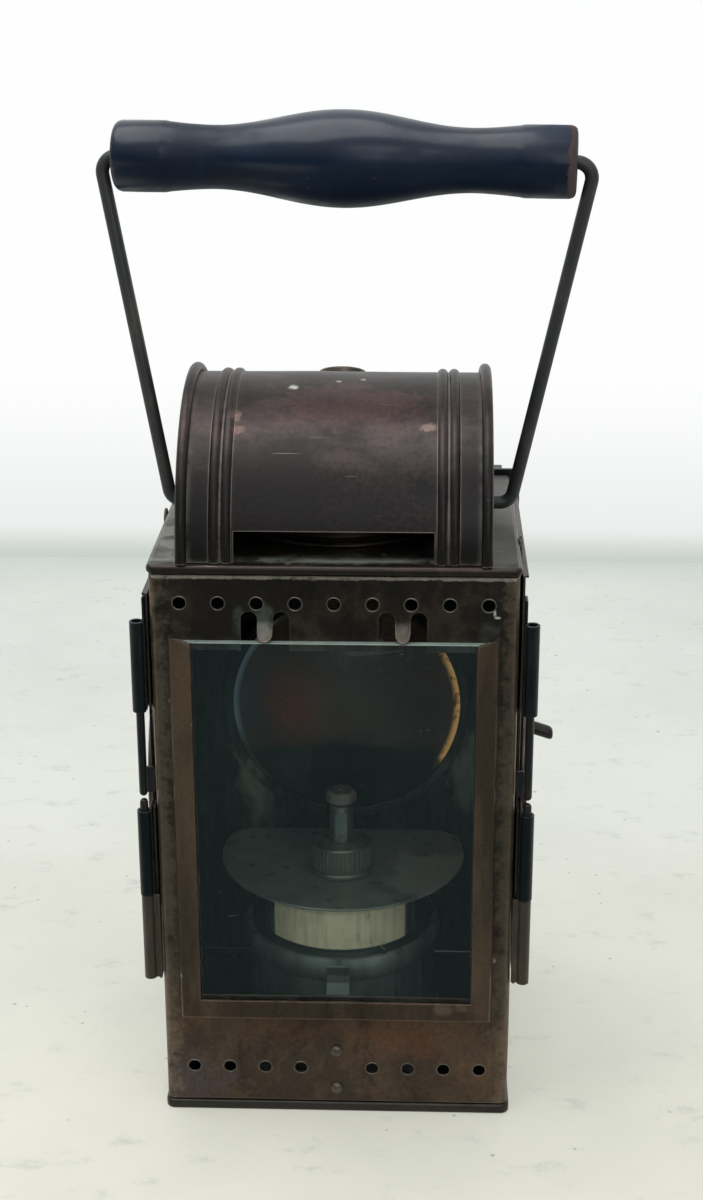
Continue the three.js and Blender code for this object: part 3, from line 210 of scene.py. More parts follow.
def turned(profile: Sequence[Point2], axis: Axis = Axis.Z, centre: Point3 = ORIGIN,
           sides: int = 72, closed: bool = False) -> Form:
    """Turns a profile about an axis.

    Args:
        profile: Pairs of radius and height. An open profile starts and ends on the axis.
        axis: The axis that the heights follow.
        centre: The point that is added to each place.
        sides: The number of steps round the axis.
        closed: Whether the profile's last point joins its first, as on a ring.

    Returns:
        The turned form.
    """
    turn = turn_to(axis)
    form = Form()
    count = len(profile)
    for i in range(sides):
        angle = TAU * i / sides
        for radius, height in profile:
            x, y, z = turn(radius * cos(angle), radius * sin(angle), height)
            form.points.append((x + centre[0], y + centre[1], z + centre[2]))
    for i in range(sides):
        near, far = i * count, (i + 1) % sides * count
        for k in range(count if closed else count - 1):
            after = (k + 1) % count
            form.faces.append((near + k, near + after, far + after, far + k))
    return form


def lofted(rings: Sequence[Sequence[Point3]], round_trip: bool = False) -> Form:
    """Joins equal closed outlines in a row.

    Args:
        rings: The outlines, each with the same number of points.
        round_trip: Whether the last outline joins the first. If not, both ends are capped.

    Returns:
        The closed form.
    """
    count, form = len(rings[0]), Form([point for ring in rings for point in ring])
    for r in range(len(rings) if round_trip else len(rings) - 1):
        near, far = r * count, (r + 1) % len(rings) * count
        for k in range(count):
            after = (k + 1) % count
            form.faces.append((near + k, near + after, far + after, far + k))
    if not round_trip:
        last = (len(rings) - 1) * count
        form.faces.append(tuple(reversed(range(count))))
        form.faces.append(tuple(range(last, last + count)))
    return form


def edged(path: Sequence[Point2], section: Sequence[Point2], closed: bool = True) -> Form:
    """Runs a section along the edge of a flat outline in XY, mitred at each point.

    Args:
        path: The outline, anticlockwise.
        section: Pairs of outward offset and height.
        closed: Whether the path closes on itself.

    Returns:
        The rim's form.
    """
    rings: list[list[Point3]] = []
    for i, (x, y) in enumerate(path):
        before = path[i - 1] if closed or i else path[i]
        after = path[(i + 1) % len(path)] if closed or i < len(path) - 1 else path[i]
        one = Vector((x - before[0], y - before[1]))
        two = Vector((after[0] - x, after[1] - y))
        one, two = one or two, two or one
        normals = [Vector((leg.y, -leg.x)).normalized() for leg in (one, two)]
        middle = (normals[0] + normals[1]).normalized()
        stretch = 1 / max(0.3, middle.dot(normals[0]))
        rings.append([(x + middle.x * out * stretch, y + middle.y * out * stretch, z) for out, z in section])
    return lofted(rings, closed)


def cut_sheet(loops: Sequence[Sequence[Point2]], thickness: float, chamfer: float = 0.12,
              steps: Iterable[tuple[Axis, float]] = ()) -> Form:
    """Cuts a flat sheet with holes out of XY and breaks its edges.

    Args:
        loops: The outline and its holes.
        thickness: The sheet's thickness, from height zero upwards.
        chamfer: The size of the broken edges.
        steps: Extra cuts across the sheet, where it bends later: an axis and a place on it.

    Returns:
        The sheet's form.
    """
    curve = bpy.data.curves.new("outline", "CURVE")
    curve.dimensions = "2D"
    curve.fill_mode = "BOTH"
    curve.extrude = thickness / 2 - chamfer
    curve.bevel_depth = chamfer
    curve.bevel_resolution = 0
    curve.offset = -chamfer
    for loop in loops:
        spline = curve.splines.new("POLY")
        spline.points.add(len(loop) - 1)
        for point, (x, y) in zip(spline.points, loop):
            point.co = (x, y, 0, 1)
        spline.use_cyclic_u = True
    holder = bpy.data.objects.new("outline", curve)
    bpy.context.scene.collection.objects.link(holder)
    depsgraph = bpy.context.evaluated_depsgraph_get()
    mesh = bpy.data.meshes.new_from_object(holder.evaluated_get(depsgraph))
    bpy.data.objects.remove(holder)
    bpy.data.curves.remove(curve)
    work = bmesh.new()
    work.from_mesh(mesh)
    bpy.data.meshes.remove(mesh)
    bmesh.ops.remove_doubles(work, verts=work.verts, dist=SLIVER)
    for axis, place in steps:
        normal = {Axis.X: (1, 0, 0), Axis.Y: (0, 1, 0), Axis.Z: (0, 0, 1)}[axis]
        geometry = [*work.verts, *work.edges, *work.faces]
        bmesh.ops.bisect_plane(work, geom=geometry, plane_co=[place * n for n in normal], plane_no=normal)
    work.verts.index_update()
    form = Form(
        [(v.co.x, v.co.y, v.co.z + thickness / 2) for v in work.verts],
        [tuple(v.index for v in face.verts) for face in work.faces],
    )
    work.free()
    return form


def strip(left: float, right: float, low: float, high: float, thickness: float) -> Form:
    """Cuts a plain strip of sheet out of XY."""
    return cut_sheet([[(left, low), (right, low), (right, high), (left, high)]], thickness, 0.1)


def every(axis: Axis, start: float, end: float, pitch: float = BEND_PITCH) -> list[tuple[Axis, float]]:
    """Lists evenly spaced cuts across a sheet, up to an end."""
    count = int((end - start) / pitch)
    return [(axis, start + pitch * i) for i in range(count + 1)]


def dented(form: Form, amount: float, wave: float, seed: float = 0.0) -> Form:
    """Gives a form the slight unevenness of hand-worked sheet.

    Args:
        form: The form.
        amount: The greatest shift of a point.
        wave: The length of the waves.
        seed: Picks another pattern.

    Returns:
        The uneven form.
    """
    def shift(x: float, y: float, z: float) -> Point3:
        """Moves one point by smooth noise."""
        place = Vector((x / wave + seed, y / wave, z / wave))
        move = noise.noise_vector(place) * amount
        return (x + move.x, y + move.y, z + move.z)
    return form.placed(shift)


def upright(form: Form, side: int, plane: float) -> Form:
    """Stands a flat form from XY up in the YZ plane, with its height outwards from a plane on one side."""
    return form.placed(lambda x, y, z: (side * (plane + z), x, y))


# Pieces and trees


def piece(name: str, form: Form, finish: Material, sharp: float = SHARP) -> Object:
    """Makes an object at the origin from a form."""
    return mesh_piece(name, form.mesh(name), finish, sharp)


def mesh_piece(name: str, mesh: Mesh, finish: Material, sharp: float = SHARP) -> Object:
    """Makes an object at the origin from a mesh.

    Args:
        name: The object's name.
        mesh: Its mesh.
        finish: Its material.
        sharp: The angle in degrees from which an edge stays sharp.

    Returns:
        The new object.
    """
    mesh.materials.clear()
    mesh.materials.append(finish)
    mesh.polygons.foreach_set("use_smooth", [True] * len(mesh.polygons))
    mesh.polygons.foreach_set("material_index", [0] * len(mesh.polygons))
    mesh.set_sharp_from_angle(angle=radians(sharp))
    made = bpy.data.objects.new(name, mesh)
    bpy.context.scene.collection.objects.link(made)
    return made


def seat(made: Object, body: Body, slot: Slot, *nodes: str) -> Object:
    """Fixes a piece to its body and says which solids it stands for.

    Args:
        made: The piece.
        body: The body that it moves with.
        slot: The record's material slot; not used.
        nodes: The solids that it replaces.

    Returns:
        The piece.
    """
    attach(made, body.value)
    if nodes:
        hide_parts(*nodes)
    LOG.info("%s rides on %s for %s", made.name, body.value, ", ".join(nodes) or "itself")
    return made


class Graph:
    """Builds nodes in one tree through a single method."""

    def __init__(self, tree: bpy.types.NodeTree) -> None:
        """Keeps the tree."""
        self.tree = tree

    def node(self, kind: str, inputs: dict[int | str, Any] | None = None, **settings: Any) -> bpy.types.Node:
        """Adds one node.

        Args:
            kind: The node's type.
            inputs: Values, sockets or wrapped sockets by input index or name.
            settings: Its settings, set before its sockets.

        Returns:
            The node.
        """
        made = self.tree.nodes.new(kind)
        for key, value in settings.items():
            setattr(made, key, value)
        for key, value in (inputs or {}).items():
            self.feed(made.inputs[key], value)
        return made

    def feed(self, socket: Socket, value: Any) -> None:
        """Links a socket to a socket or a wrapped one, or sets its value."""
        value = value.socket if isinstance(value, Value) else value
        if isinstance(value, Socket):
            self.tree.links.new(value, socket)
        else:
            socket.default_value = value

    def out(self, kind: str, inputs: dict[int | str, Any] | None = None, **settings: Any) -> Socket:
        """Adds one node and gives its first output."""
        return self.node(kind, inputs, **settings).outputs[0]

    def split(self, vector: Socket) -> tuple["Value", ...]:
        """Splits a vector into its three values."""
        return tuple(Value(self, part) for part in self.node("ShaderNodeSeparateXYZ", {0: vector}).outputs)


@dataclass
class Value:
    """A socket of a shader tree that takes part in Python expressions."""

    graph: Graph
    socket: Socket

    def math(self, operation: str, *others: Any, clamp: bool = False) -> "Value":
        """Adds a Math node, whose result can be held between 0 and 1."""
        operands = dict(enumerate((self, *others)))
        return Value(self.graph,
                     self.graph.out("ShaderNodeMath", operands, operation=operation, use_clamp=clamp))

    def __add__(self, other: Any) -> "Value":
        """Adds."""
        return self.math("ADD", other)

    __radd__ = __add__

    def __mul__(self, other: Any) -> "Value":
        """Multiplies."""
        return self.math("MULTIPLY", other)

    __rmul__ = __mul__

    def __sub__(self, other: Any) -> "Value":
        """Subtracts."""
        return self.math("SUBTRACT", other)

    def __rsub__(self, other: Any) -> "Value":
        """Subtracts this value from another."""
        return Value(self.graph, self.graph.out("ShaderNodeMath", {0: other, 1: self}, operation="SUBTRACT"))

    def between(self, low: float, high: float) -> "Value":
        """Ramps smoothly from 0 at one value to 1 at another, upwards or downwards."""
        limits = {0: self, 1: low, 2: high, 3: 0.0, 4: 1.0}
        return Value(self.graph,
                     self.graph.out("ShaderNodeMapRange", limits, interpolation_type="SMOOTHSTEP"))


class Shader(Graph):
    """Builds one material around a Principled shader."""

    SAMPLES = 6
    EDGE_GAIN = 4.0

    def __init__(self, name: str) -> None:
        """Starts an empty material.

        Args:
            name: The material's name.
        """
        self.material = bpy.data.materials.new(name)
        self.material.use_nodes = True
        super().__init__(self.material.node_tree)
        self.tree.nodes.clear()
        self.output = self.node("ShaderNodeOutputMaterial")
        self.surface = self.node("ShaderNodeBsdfPrincipled")
        self.show(self.surface.outputs[0])
        self.coordinates = self.node("ShaderNodeTexCoord").outputs["Object"]

    def show(self, shader: Socket) -> None:
        """Sends a shader to the output."""
        self.tree.links.new(shader, self.output.inputs[0])

    def layered(self, factor: Any, under: Socket, over: Socket) -> Socket:
        """Lays one shader over another by a factor."""
        return self.out("ShaderNodeMixShader", {0: factor, 1: under, 2: over})

    def place(self, stretch: Point3 = EVEN, shift: Point3 = ORIGIN) -> Socket:
        """Gives stretched and shifted object coordinates."""
        return self.out("ShaderNodeMapping", {0: self.coordinates, 1: shift, 3: stretch})

    def noise(self, scale: float, detail: float = 4.0, roughness: float = 0.55, stretch: Point3 = EVEN,
              shift: Point3 = ORIGIN, distortion: float = 0.0) -> Value:
        """Adds a noise pattern, with its scale in waves per metre."""
        return Value(self, self.out("ShaderNodeTexNoise", {
            "Vector": self.place(stretch, shift), "Scale": scale, "Detail": detail,
            "Roughness": roughness, "Distortion": distortion}))

    def spots(self, scale: float, radius: float, share: float, shift: Point3 = ORIGIN) -> Value:
        """Adds scattered spots.

        Args:
            scale: Cells per metre.
            radius: The spots' radius as a share of a cell.
            share: The share of the cells that hold a spot.
            shift: A shift of the pattern.

        Returns:
            A mask of the spots.
        """
        made = self.node("ShaderNodeTexVoronoi", {"Vector": self.place(shift=shift), "Scale": scale})
        picked = self.out("ShaderNodeSeparateColor", {0: made.outputs["Color"]})
        chosen = Value(self, picked).math("LESS_THAN", share)
        near = Value(self, made.outputs["Distance"]).math("LESS_THAN", radius)
        return chosen * near

    def axes(self) -> tuple[Value, ...]:
        """Splits the object coordinates into their three values."""
        return self.split(self.coordinates)

    def facing(self) -> tuple[Value, ...]:
        """Splits the surface's normal, in the object's own frame, into its three values."""
        normal = self.node("ShaderNodeNewGeometry").outputs["Normal"]
        return self.split(self.out("ShaderNodeVectorTransform", {0: normal}, vector_type="NORMAL",
                                   convert_from="WORLD", convert_to="OBJECT"))

    def worn_edges(self, radius: float) -> Value:
        """Finds edges by comparing the normal with one rounded over a radius.

        Args:
            radius: The radius in millimetres.

        Returns:
            A value that rises from 0 on flats to about 1 at an edge.
        """
        rounded = self.out("ShaderNodeBevel", {"Radius": radius * MM}, samples=self.SAMPLES)
        plain = self.node("ShaderNodeNewGeometry").outputs["Normal"]
        alike = self.node("ShaderNodeVectorMath", {0: rounded, 1: plain},
                          operation="DOT_PRODUCT").outputs["Value"]
        return (1 - Value(self, alike)) * self.EDGE_GAIN

    def crevices(self, distance: float) -> Value:
        """Finds corners and joints, within a distance in millimetres, where dirt stays."""
        made = self.node("ShaderNodeAmbientOcclusion", {"Distance": distance * MM}, samples=self.SAMPLES)
        return 1 - Value(self, made.outputs["AO"])

    def mix(self, factor: Any, first: Any, second: Any) -> Socket:
        """Mixes two colours or sockets, with the factor as the second one's share."""
        colours = {0: factor, 6: self.colour(first), 7: self.colour(second)}
        return self.node("ShaderNodeMix", colours, data_type="RGBA", clamp_factor=True).outputs[2]

    @staticmethod
    def colour(value: Any) -> Any:
        """Gives a plain colour its fourth value, and a socket as it is."""
        return (*value, 1.0) if isinstance(value, tuple) else value

    def bump(self, height: Value, depth: float, strength: float = 1.0) -> None:
        """Feeds a height pattern to the shader's normal, with its depth in millimetres."""
        made = self.out("ShaderNodeBump", {"Strength": strength, "Distance": depth * MM, "Height": height})
        self.tree.links.new(made, self.surface.inputs["Normal"])

    def set(self, **sockets: Any) -> None:
        """Sets or links the Principled shader's sockets by name, with _ for a space."""
        for name, value in sockets.items():
            self.feed(self.surface.inputs[name.replace("_", " ")], self.colour(value))


# Finishes


@dataclass(frozen=True)
class Mark:
    """A local patch of colour in millimetres: a stain, chip or rubbed place, or a painted highlight or shade.
    """

    RAGGED: ClassVar[float] = 2.4
    CORE: ClassVar[float] = 0.35

    centre: Point3
    radius: float
    colour: Colour
    strength: float = 0.8
    reach: Point3 = EVEN

    def mask(self, s: Shader, ragged: Value) -> Value:
        """Draws the mark with an uneven edge.

        Args:
            s: The material's builder.
            ragged: A pattern that breaks up the edge.

        Returns:
            The mark's mask.
        """
        centre = tuple(v * r * MM for v, r in zip(self.centre, self.reach))
        away = s.node("ShaderNodeVectorMath", {0: s.place(self.reach), 1: centre}, operation="DISTANCE")
        uneven = Value(s, away.outputs["Value"]) * (1 / MM) + (ragged - 0.5) * (self.radius * self.RAGGED)
        return uneven.between(self.radius, self.radius * self.CORE) * self.strength


def dimmed(colour: Colour, share: float) -> Colour:
    """Gives a share of a colour."""
    return tuple(c * share for c in colour)


@dataclass(frozen=True)
class Coat:
    """The start of each finish: its name, and a material that its own method paints."""

    name: str

    def material(self) -> Material:
        """Builds the material."""
        s = Shader(self.name)
        self.paint(s)
        return s.material


@dataclass(frozen=True)
class Copper(Coat):
    """Old sheet copper: brown patina, warmer rubbed places, pale film in corners and bare edges, with a
    painted highlight on faces that look up and painted shade towards the foot where these are asked for.

    A shelter gives half the width and the front of the place under the hood, where no film lies.
    """

    dark: Colour = (0.021, 0.016, 0.012)
    warm: Colour = (0.072, 0.047, 0.031)
    film: Colour = (0.150, 0.160, 0.130)
    bare: Colour = (0.270, 0.220, 0.180)
    warmth: float = 0.5
    film_amount: float = 0.25
    film_up: float = 0.0
    heat: Colour = (0.185, 0.082, 0.045)
    heat_amount: float = 0.35
    fade: tuple[float, float, float] | None = None
    corner_reach: float = 5.0
    corner_from: float = 0.25
    shelter: Point2 | None = None
    sheltered: float = 0.93
    floor_front: Point2 = (-51.5, -48.0)
    floor_side: Point2 = (44.0, 50.0)
    up_bare: float = 0.0
    up_from: float = 0.0
    scratched: float = 0.25
    marks: tuple[Mark, ...] = ()
    stains: float = 0.6
    wear: float = 0.75
    polish: float = 0.28
    metal: float = 0.7
    glow: float = 0.0
    glow_heights: Point2 = (0.02, 0.19)
    streaks: Point3 = (1.0, 1.0, 0.25)

    def paint(self, s: Shader) -> None:
        """Paints the surface.

        Args:
            s: The material's builder.
        """
        clouds = s.noise(26, 5, 0.6, self.streaks)
        blotches = s.noise(90, 6, 0.62, self.streaks, (3, 1, 2), 0.4)
        grime = s.noise(34, 6, 0.7, self.streaks, (7, 2, 9), 0.6)
        fine = s.noise(700, 4, 0.6)
        scratches = s.noise(900, 2, 0.5, (0.05, 1.0, 1.6), distortion=0.3).between(0.74, 0.78)
        cool, warm = 0.72 - 0.3 * self.warmth, 0.92 - 0.3 * self.warmth
        warm_places = (clouds * 0.7 + blotches * 0.5).between(cool, warm)
        if self.glow:
            low = 1 - s.axes()[2].between(*self.glow_heights)
            warm_places = (warm_places * 0.6 + low * self.glow).between(0.0, 1.0)
        colour = s.mix(warm_places, self.dark, self.warm)
        heat = grime.between(0.52, 0.66) * warm_places * self.heat_amount
        colour = s.mix(heat, colour, self.heat)
        ragged = s.noise(210, 6, 0.72, shift=(5, 5, 1))
        for mark in self.marks:
            colour = s.mix(mark.mask(s, ragged), colour, mark.colour)
        stains = (1 - grime.between(0.30, 0.46)) * self.stains
        # Painted shade: with fade, darker from its top height down to its foot, by its share.
        if self.fade:
            top, foot, share = self.fade
            stains = stains.math("ADD", s.axes()[2].between(top * MM, foot * MM) * share, clamp=True)
        colour = s.mix(stains + fine.between(0.35, 0.75) * 0.3, colour, dimmed(self.dark, 0.35))
        corner = s.crevices(self.corner_reach).between(self.corner_from, self.corner_from + 0.5)
        up = s.facing()[2].between(0.4, 0.9)
        if self.up_from:
            up = up * s.axes()[2].between((self.up_from - 5) * MM, self.up_from * MM)
        film = (corner * 0.8 + up * self.film_up) * blotches.between(0.3, 0.62) * self.film_amount
        film = film.math("ADD", blotches.between(0.66, 0.78) * (self.film_amount * 0.3), clamp=True)
        if self.shelter:
            half, front = self.shelter
            x, y, _ = s.axes()
            aside = x.math("ABSOLUTE").between((half + 1.5) * MM, (half - 3) * MM)
            under = aside * (y + (blotches - 0.5) * 0.012).between(front * MM, (front + 5) * MM)
            first, last = self.floor_front
            left, right = self.floor_side
            open_floor = y.between(first * MM, last * MM) * (1 - x.between(left * MM, right * MM) * 0.7)
            film = film * (1 - under * self.sheltered) * open_floor
        colour = s.mix(film, colour, self.film)
        # Bare copper on the edges, made strong enough to stand in for the light along them too: partly wear,
        # partly painted highlight.
        edges = s.worn_edges(0.8) * 1.6
        worn = (edges * (fine * 0.5 + blotches * 0.9).between(0.42, 0.72)).between(0.1, 0.7) * self.wear
        # Painted highlight: faces that look up, from up_from upwards, turn lighter as if lit from above.
        worn = worn.math("ADD", scratches * self.scratched + up * self.up_bare, clamp=True)
        colour = s.mix(worn, colour, self.bare)
        chips = s.spots(130, 0.13, 0.06, (0.7, 0.2, 0.4))
        colour = s.mix(chips * 0.8, colour, dimmed(self.bare, 1.3))
        rough = fine * 0.10 + grime * 0.28 + (self.polish - 0.14) + film * 0.35 - worn * 0.10
        s.set(Base_Color=colour, Roughness=rough, Metallic=(1 - film) * self.metal)
        s.bump(blotches * 0.6 + grime * 0.5 + fine * 0.18, 0.12, 0.6)


@dataclass(frozen=True)
class Tin(Coat):
    """Dull tinned sheet with soft scratches and dark stains; it can turn darker towards the top, and its marks
    are painted highlights.
    """

    bright: Colour = (0.30, 0.30, 0.27)
    dull: Colour = (0.10, 0.11, 0.105)
    stain: float = 0.5
    polish: float = 0.3
    metal: float = 0.85
    soot: Point2 | None = None
    marks: tuple[Mark, ...] = ()

    def paint(self, s: Shader) -> None:
        """Paints the surface.

        Args:
            s: The material's builder.
        """
        clouds = s.noise(60, 5, 0.6, (1, 1, 0.5))
        fine = s.noise(500, 4, 0.6)
        runs = s.noise(220, 3, 0.5, (1.0, 1.0, 0.12), (2, 0, 1))
        mix = (clouds * 0.8 + runs * 0.4).between(0.42, 0.75)
        colour = s.mix(mix * self.stain + 0.1, self.bright, self.dull)
        colour = s.mix(runs.between(0.62, 0.7) * 0.5, colour, dimmed(self.dull, 0.4))
        # Darker towards the top.
        if self.soot:
            colour = s.mix(s.axes()[2].between(*self.soot), colour, dimmed(self.dull, 0.15))
        # Painted highlights: the marks laid on tin.
        for mark in self.marks:
            colour = s.mix(mark.mask(s, clouds), colour, mark.colour)
        s.set(Base_Color=colour, Roughness=fine * 0.15 + clouds * 0.2 + (self.polish - 0.12),
              Metallic=self.metal)
        s.bump(clouds * 0.6 + fine * 0.05, 0.08, 0.4)


@dataclass(frozen=True)
class BrushedBand(Coat):
    """The water tank's tin, with painted light: a bright cream band in front standing in for a reflection,
    grey beside it and painted shade all round the rest.
    """

    cream: Colour = (1.0, 0.88, 0.58)
    streak: Colour = (0.60, 0.52, 0.34)
    grey: Colour = (0.10, 0.11, 0.10)
    dark: Colour = (0.020, 0.026, 0.026)
    stain: Colour = (0.16, 0.15, 0.11)
    band_half: float = 23.6
    grey_half: float = 27.0
    band_foot: Point2 = (52.2, 52.7)

    def paint(self, s: Shader) -> None:
        """Paints the surface.

        Args:
            s: The material's builder.
        """
        x, y, z = s.axes()
        strokes = s.noise(330, 3, 0.6, (1.0, 1.0, 0.10))
        blots = s.noise(150, 5, 0.65, (1.0, 1.0, 0.6), (1, 5, 2))
        fine = s.noise(900, 3, 0.6)
        # Painted highlight in front and painted shade elsewhere: cream band, grey ends, dark around.
        aside = x.math("ABSOLUTE") * (1 / MM) + (fine - 0.5) * 0.8
        front = (1 - y.between(-0.004, 0.0)) * (z * (1 / MM) + blots * 0.6).between(*self.band_foot)
        band = (1 - aside.between(self.band_half - 0.5, self.band_half + 0.2)) * front
        beside = (1 - aside.between(self.grey_half - 0.5, self.grey_half + 0.5)) * front
        colour = s.mix(strokes.between(0.42, 0.7) * 0.6 + blots.between(0.5, 0.7) * 0.35, self.cream,
                       self.streak)
        stain = (blots * 0.7 + strokes * 0.4).between(0.62, 0.72) * x.between(0.004, 0.010) * 0.55
        colour = s.mix(stain, colour, self.stain)
        around = s.mix(beside * strokes.between(0.3, 0.6), self.dark, self.grey)
        s.set(Base_Color=s.mix(band, around, colour), Roughness=0.46 - band * 0.16 + fine * 0.08)
        s.bump(strokes * 0.4 + blots * 0.5, 0.06, 0.4)


@dataclass(frozen=True)
class Steel(Coat):
    """Blackened steel, rubbed brown or bright on its edges."""

    base: Colour = (0.004, 0.008, 0.010)
    rub: Colour = (0.018, 0.020, 0.020)
    edge: Colour = (0.12, 0.12, 0.11)
    polish: float = 0.30
    metal: float = 0.5

    def paint(self, s: Shader) -> None:
        """Paints the surface.

        Args:
            s: The material's builder.
        """
        clouds = s.noise(110, 5, 0.6, (1, 1, 0.4))
        fine = s.noise(800, 4, 0.6)
        mask = clouds.between(0.48, 0.72)
        colour = s.mix(mask * 0.75, self.base, self.rub)
        worn = (s.worn_edges(0.6) * fine.between(0.3, 0.6)).between(0.1, 0.8)
        colour = s.mix(worn * 0.7, colour, self.edge)
        s.set(Base_Color=colour, Roughness=fine * 0.14 + clouds * 0.2 + (self.polish - 0.12),
              Metallic=self.metal)
        s.bump(clouds * 0.4 + fine * 0.3, 0.06, 0.6)


@dataclass(frozen=True)
class Lacquer(Coat):
    """Black lacquer with a blue cast on turned wood, chipped at its ends and rubbed at its belly."""

    base: Colour = (0.0006, 0.006, 0.020)
    haze: Colour = (0.004, 0.018, 0.044)
    wood: Colour = (0.075, 0.050, 0.045)
    half_length: float = 75.5

    def paint(self, s: Shader) -> None:
        """Paints the surface.

        Args:
            s: The material's builder.
        """
        clouds = s.noise(70, 5, 0.6, (0.4, 1, 1))
        fine = s.noise(600, 4, 0.6, (0.35, 1, 1))
        rings = s.noise(400, 2, 0.4, (1.0, 0.08, 0.08), (4, 0, 0))
        x = s.axes()[0].math("ABSOLUTE")
        end = x.between((self.half_length - 7) * MM, (self.half_length + 3) * MM)
        chipped = (end + (s.noise(260, 5, 0.7, (0.5, 1, 1)) - 0.5) * 0.9).between(0.5, 0.58)
        specks = s.spots(420, 0.16, 0.035)
        colour = s.mix(clouds.between(0.4, 0.8) * 0.6, self.base, self.haze)
        colour = s.mix(rings.between(0.6, 0.75) * 0.25, colour, self.haze)
        colour = s.mix(chipped * 0.75 + specks * 0.5, colour, self.wood)
        patch = s.noise(34, 4, 0.6, (0.5, 1, 1), (2, 5, 1)).between(0.42, 0.62)
        rough = clouds * 0.30 + fine * 0.12 + 0.30 - patch * 0.22 + chipped * 0.3
        s.set(Base_Color=colour, Roughness=rough, Specular_IOR_Level=0.25,
              Coat_Weight=patch * (1 - chipped) * 0.30, Coat_Roughness=0.16)
        s.bump(fine * 0.3 + rings * 0.2 + clouds * 0.4 - chipped * 0.5, 0.12, 0.7)


@dataclass(frozen=True)
class Glass(Coat):
    """Old glass with dust, smears and a few specks."""

    tint: Colour = (0.87, 0.92, 0.905)
    dust: Colour = (0.35, 0.38, 0.36)
    dust_amount: float = 0.012
    index: float = 1.42
    rough: float = 0.01

    def paint(self, s: Shader) -> None:
        """Paints the surface.

        Args:
            s: The material's builder.
        """
        smear = s.noise(45, 4, 0.6, (1, 1, 0.4)).between(0.45, 0.8)
        specks = s.spots(230, 0.07, 0.10)
        thin = s.noise(1500, 1, 0.4, (0.05, 1.0, 0.9), distortion=0.4).between(0.74, 0.76)
        dust = (smear * self.dust_amount + specks * 0.35).math("ADD", thin * 0.05, clamp=True)
        s.set(Base_Color=self.tint, Roughness=self.rough, IOR=self.index, Transmission_Weight=1.0)
        film = s.out("ShaderNodeBsdfDiffuse", {0: s.colour(self.dust), 1: 0.5})
        s.show(s.layered(dust, s.surface.outputs[0], film))


@dataclass(frozen=True)
class ClearedLens(Coat):
    """The old lens: painted light and shade for what is seen through it, brown above and dark below, a painted
    cold reflection at its left rim, a reddish painted reflection, and a chipped orange rim at its right.

    A weak emission on the rims and the chips stands in for the light that comes through them.
    """

    haze: Colour = (0.250, 0.140, 0.085)
    smear: Colour = (0.480, 0.130, 0.075)
    shade: Colour = (0.010, 0.017, 0.016)
    cold: Colour = (0.26, 0.36, 0.42)
    chip: Colour = (1.0, 0.58, 0.19)
    moss: Colour = (0.17, 0.21, 0.17)
    speck: Colour = (0.6, 0.62, 0.58)
    clear: Colour = (0.80, 0.88, 0.86)
    centre: float = 113.6
    radius: float = 45.5
    boundary: float = 101.0
    lit_through: float = 0.22
    index: float = 1.3

    def paint(self, s: Shader) -> None:
        """Paints the surface.

        Args:
            s: The material's builder.
        """
        x, _, z = s.axes()
        x, z = x * (1 / MM), z * (1 / MM) - self.centre
        blots = s.noise(60, 5, 0.65)
        fine = s.noise(420, 4, 0.6)
        away = (x * x + z * z).math("SQRT")
        rim = away.between(self.radius - 5.5, self.radius - 2.5)
        line = z + (blots - 0.5) * 7 + x * x * 0.006
        above = line.between(self.boundary - self.centre - 1.5, self.boundary - self.centre + 2.5)
        # Painted light and shade: brown as if lit above the boundary, dark below it, for what is seen through
        # the lens.
        colour = s.mix(above, self.shade, self.haze)

        def patch(at: Point2, across: Point2, along: Point2) -> Value:
            """Draws a patch at a place, with soft limits across X and along Z."""
            aside = (x - at[0]).math("ABSOLUTE").between(*across)
            return aside * (z - at[1]).math("ABSOLUTE").between(*along)

        # Painted reflection: a reddish patch left of the centre.
        red = patch((-20, 3), (17, 2), (19, 4))
        colour = s.mix(red * 0.8, colour, self.smear)
        # Painted reflection: a cold patch at the far left.
        colour = s.mix(patch((-38, 2), (9, 2), (20, 6)) * 0.35, colour, self.cold)
        colour = s.mix(patch((31, -4), (9, 3), (15, 6)) * 0.7, colour, self.moss)
        # Painted reflection: a cold crescent on the left rim.
        left = rim * (x * -1).between(20, 34) * z.between(-24, -6)
        colour = s.mix(left * 0.8, colour, self.cold)
        right = rim * x.between(26, 32) * z.between(-27, -20) * z.between(26, 18)
        chipped = right * (fine * 0.6 + blots * 0.5).between(0.42, 0.55)
        colour = s.mix(chipped, colour, self.chip)
        specks = s.spots(420, 0.16, 0.12) * patch((25, -3), (10, 6), (8, 3))
        colour = s.mix(specks, colour, self.speck)
        lit = s.mix(chipped, s.mix(left * 0.35, (0.0, 0.0, 0.0), self.cold), self.chip)
        film = s.out("ShaderNodeBsdfPrincipled", {
            "Base Color": colour, "Roughness": 0.45, "Emission Color": lit,
            "Emission Strength": self.lit_through})
        cover = above * (0.15 + blots * 0.22) + red * 0.20 + chipped + left * 0.5 + specks
        cover = cover.math("ADD", 0.10, clamp=True)
        s.set(Base_Color=self.clear, Roughness=0.02, IOR=self.index, Transmission_Weight=1.0)
        s.show(s.layered(cover, s.surface.outputs[0], film))
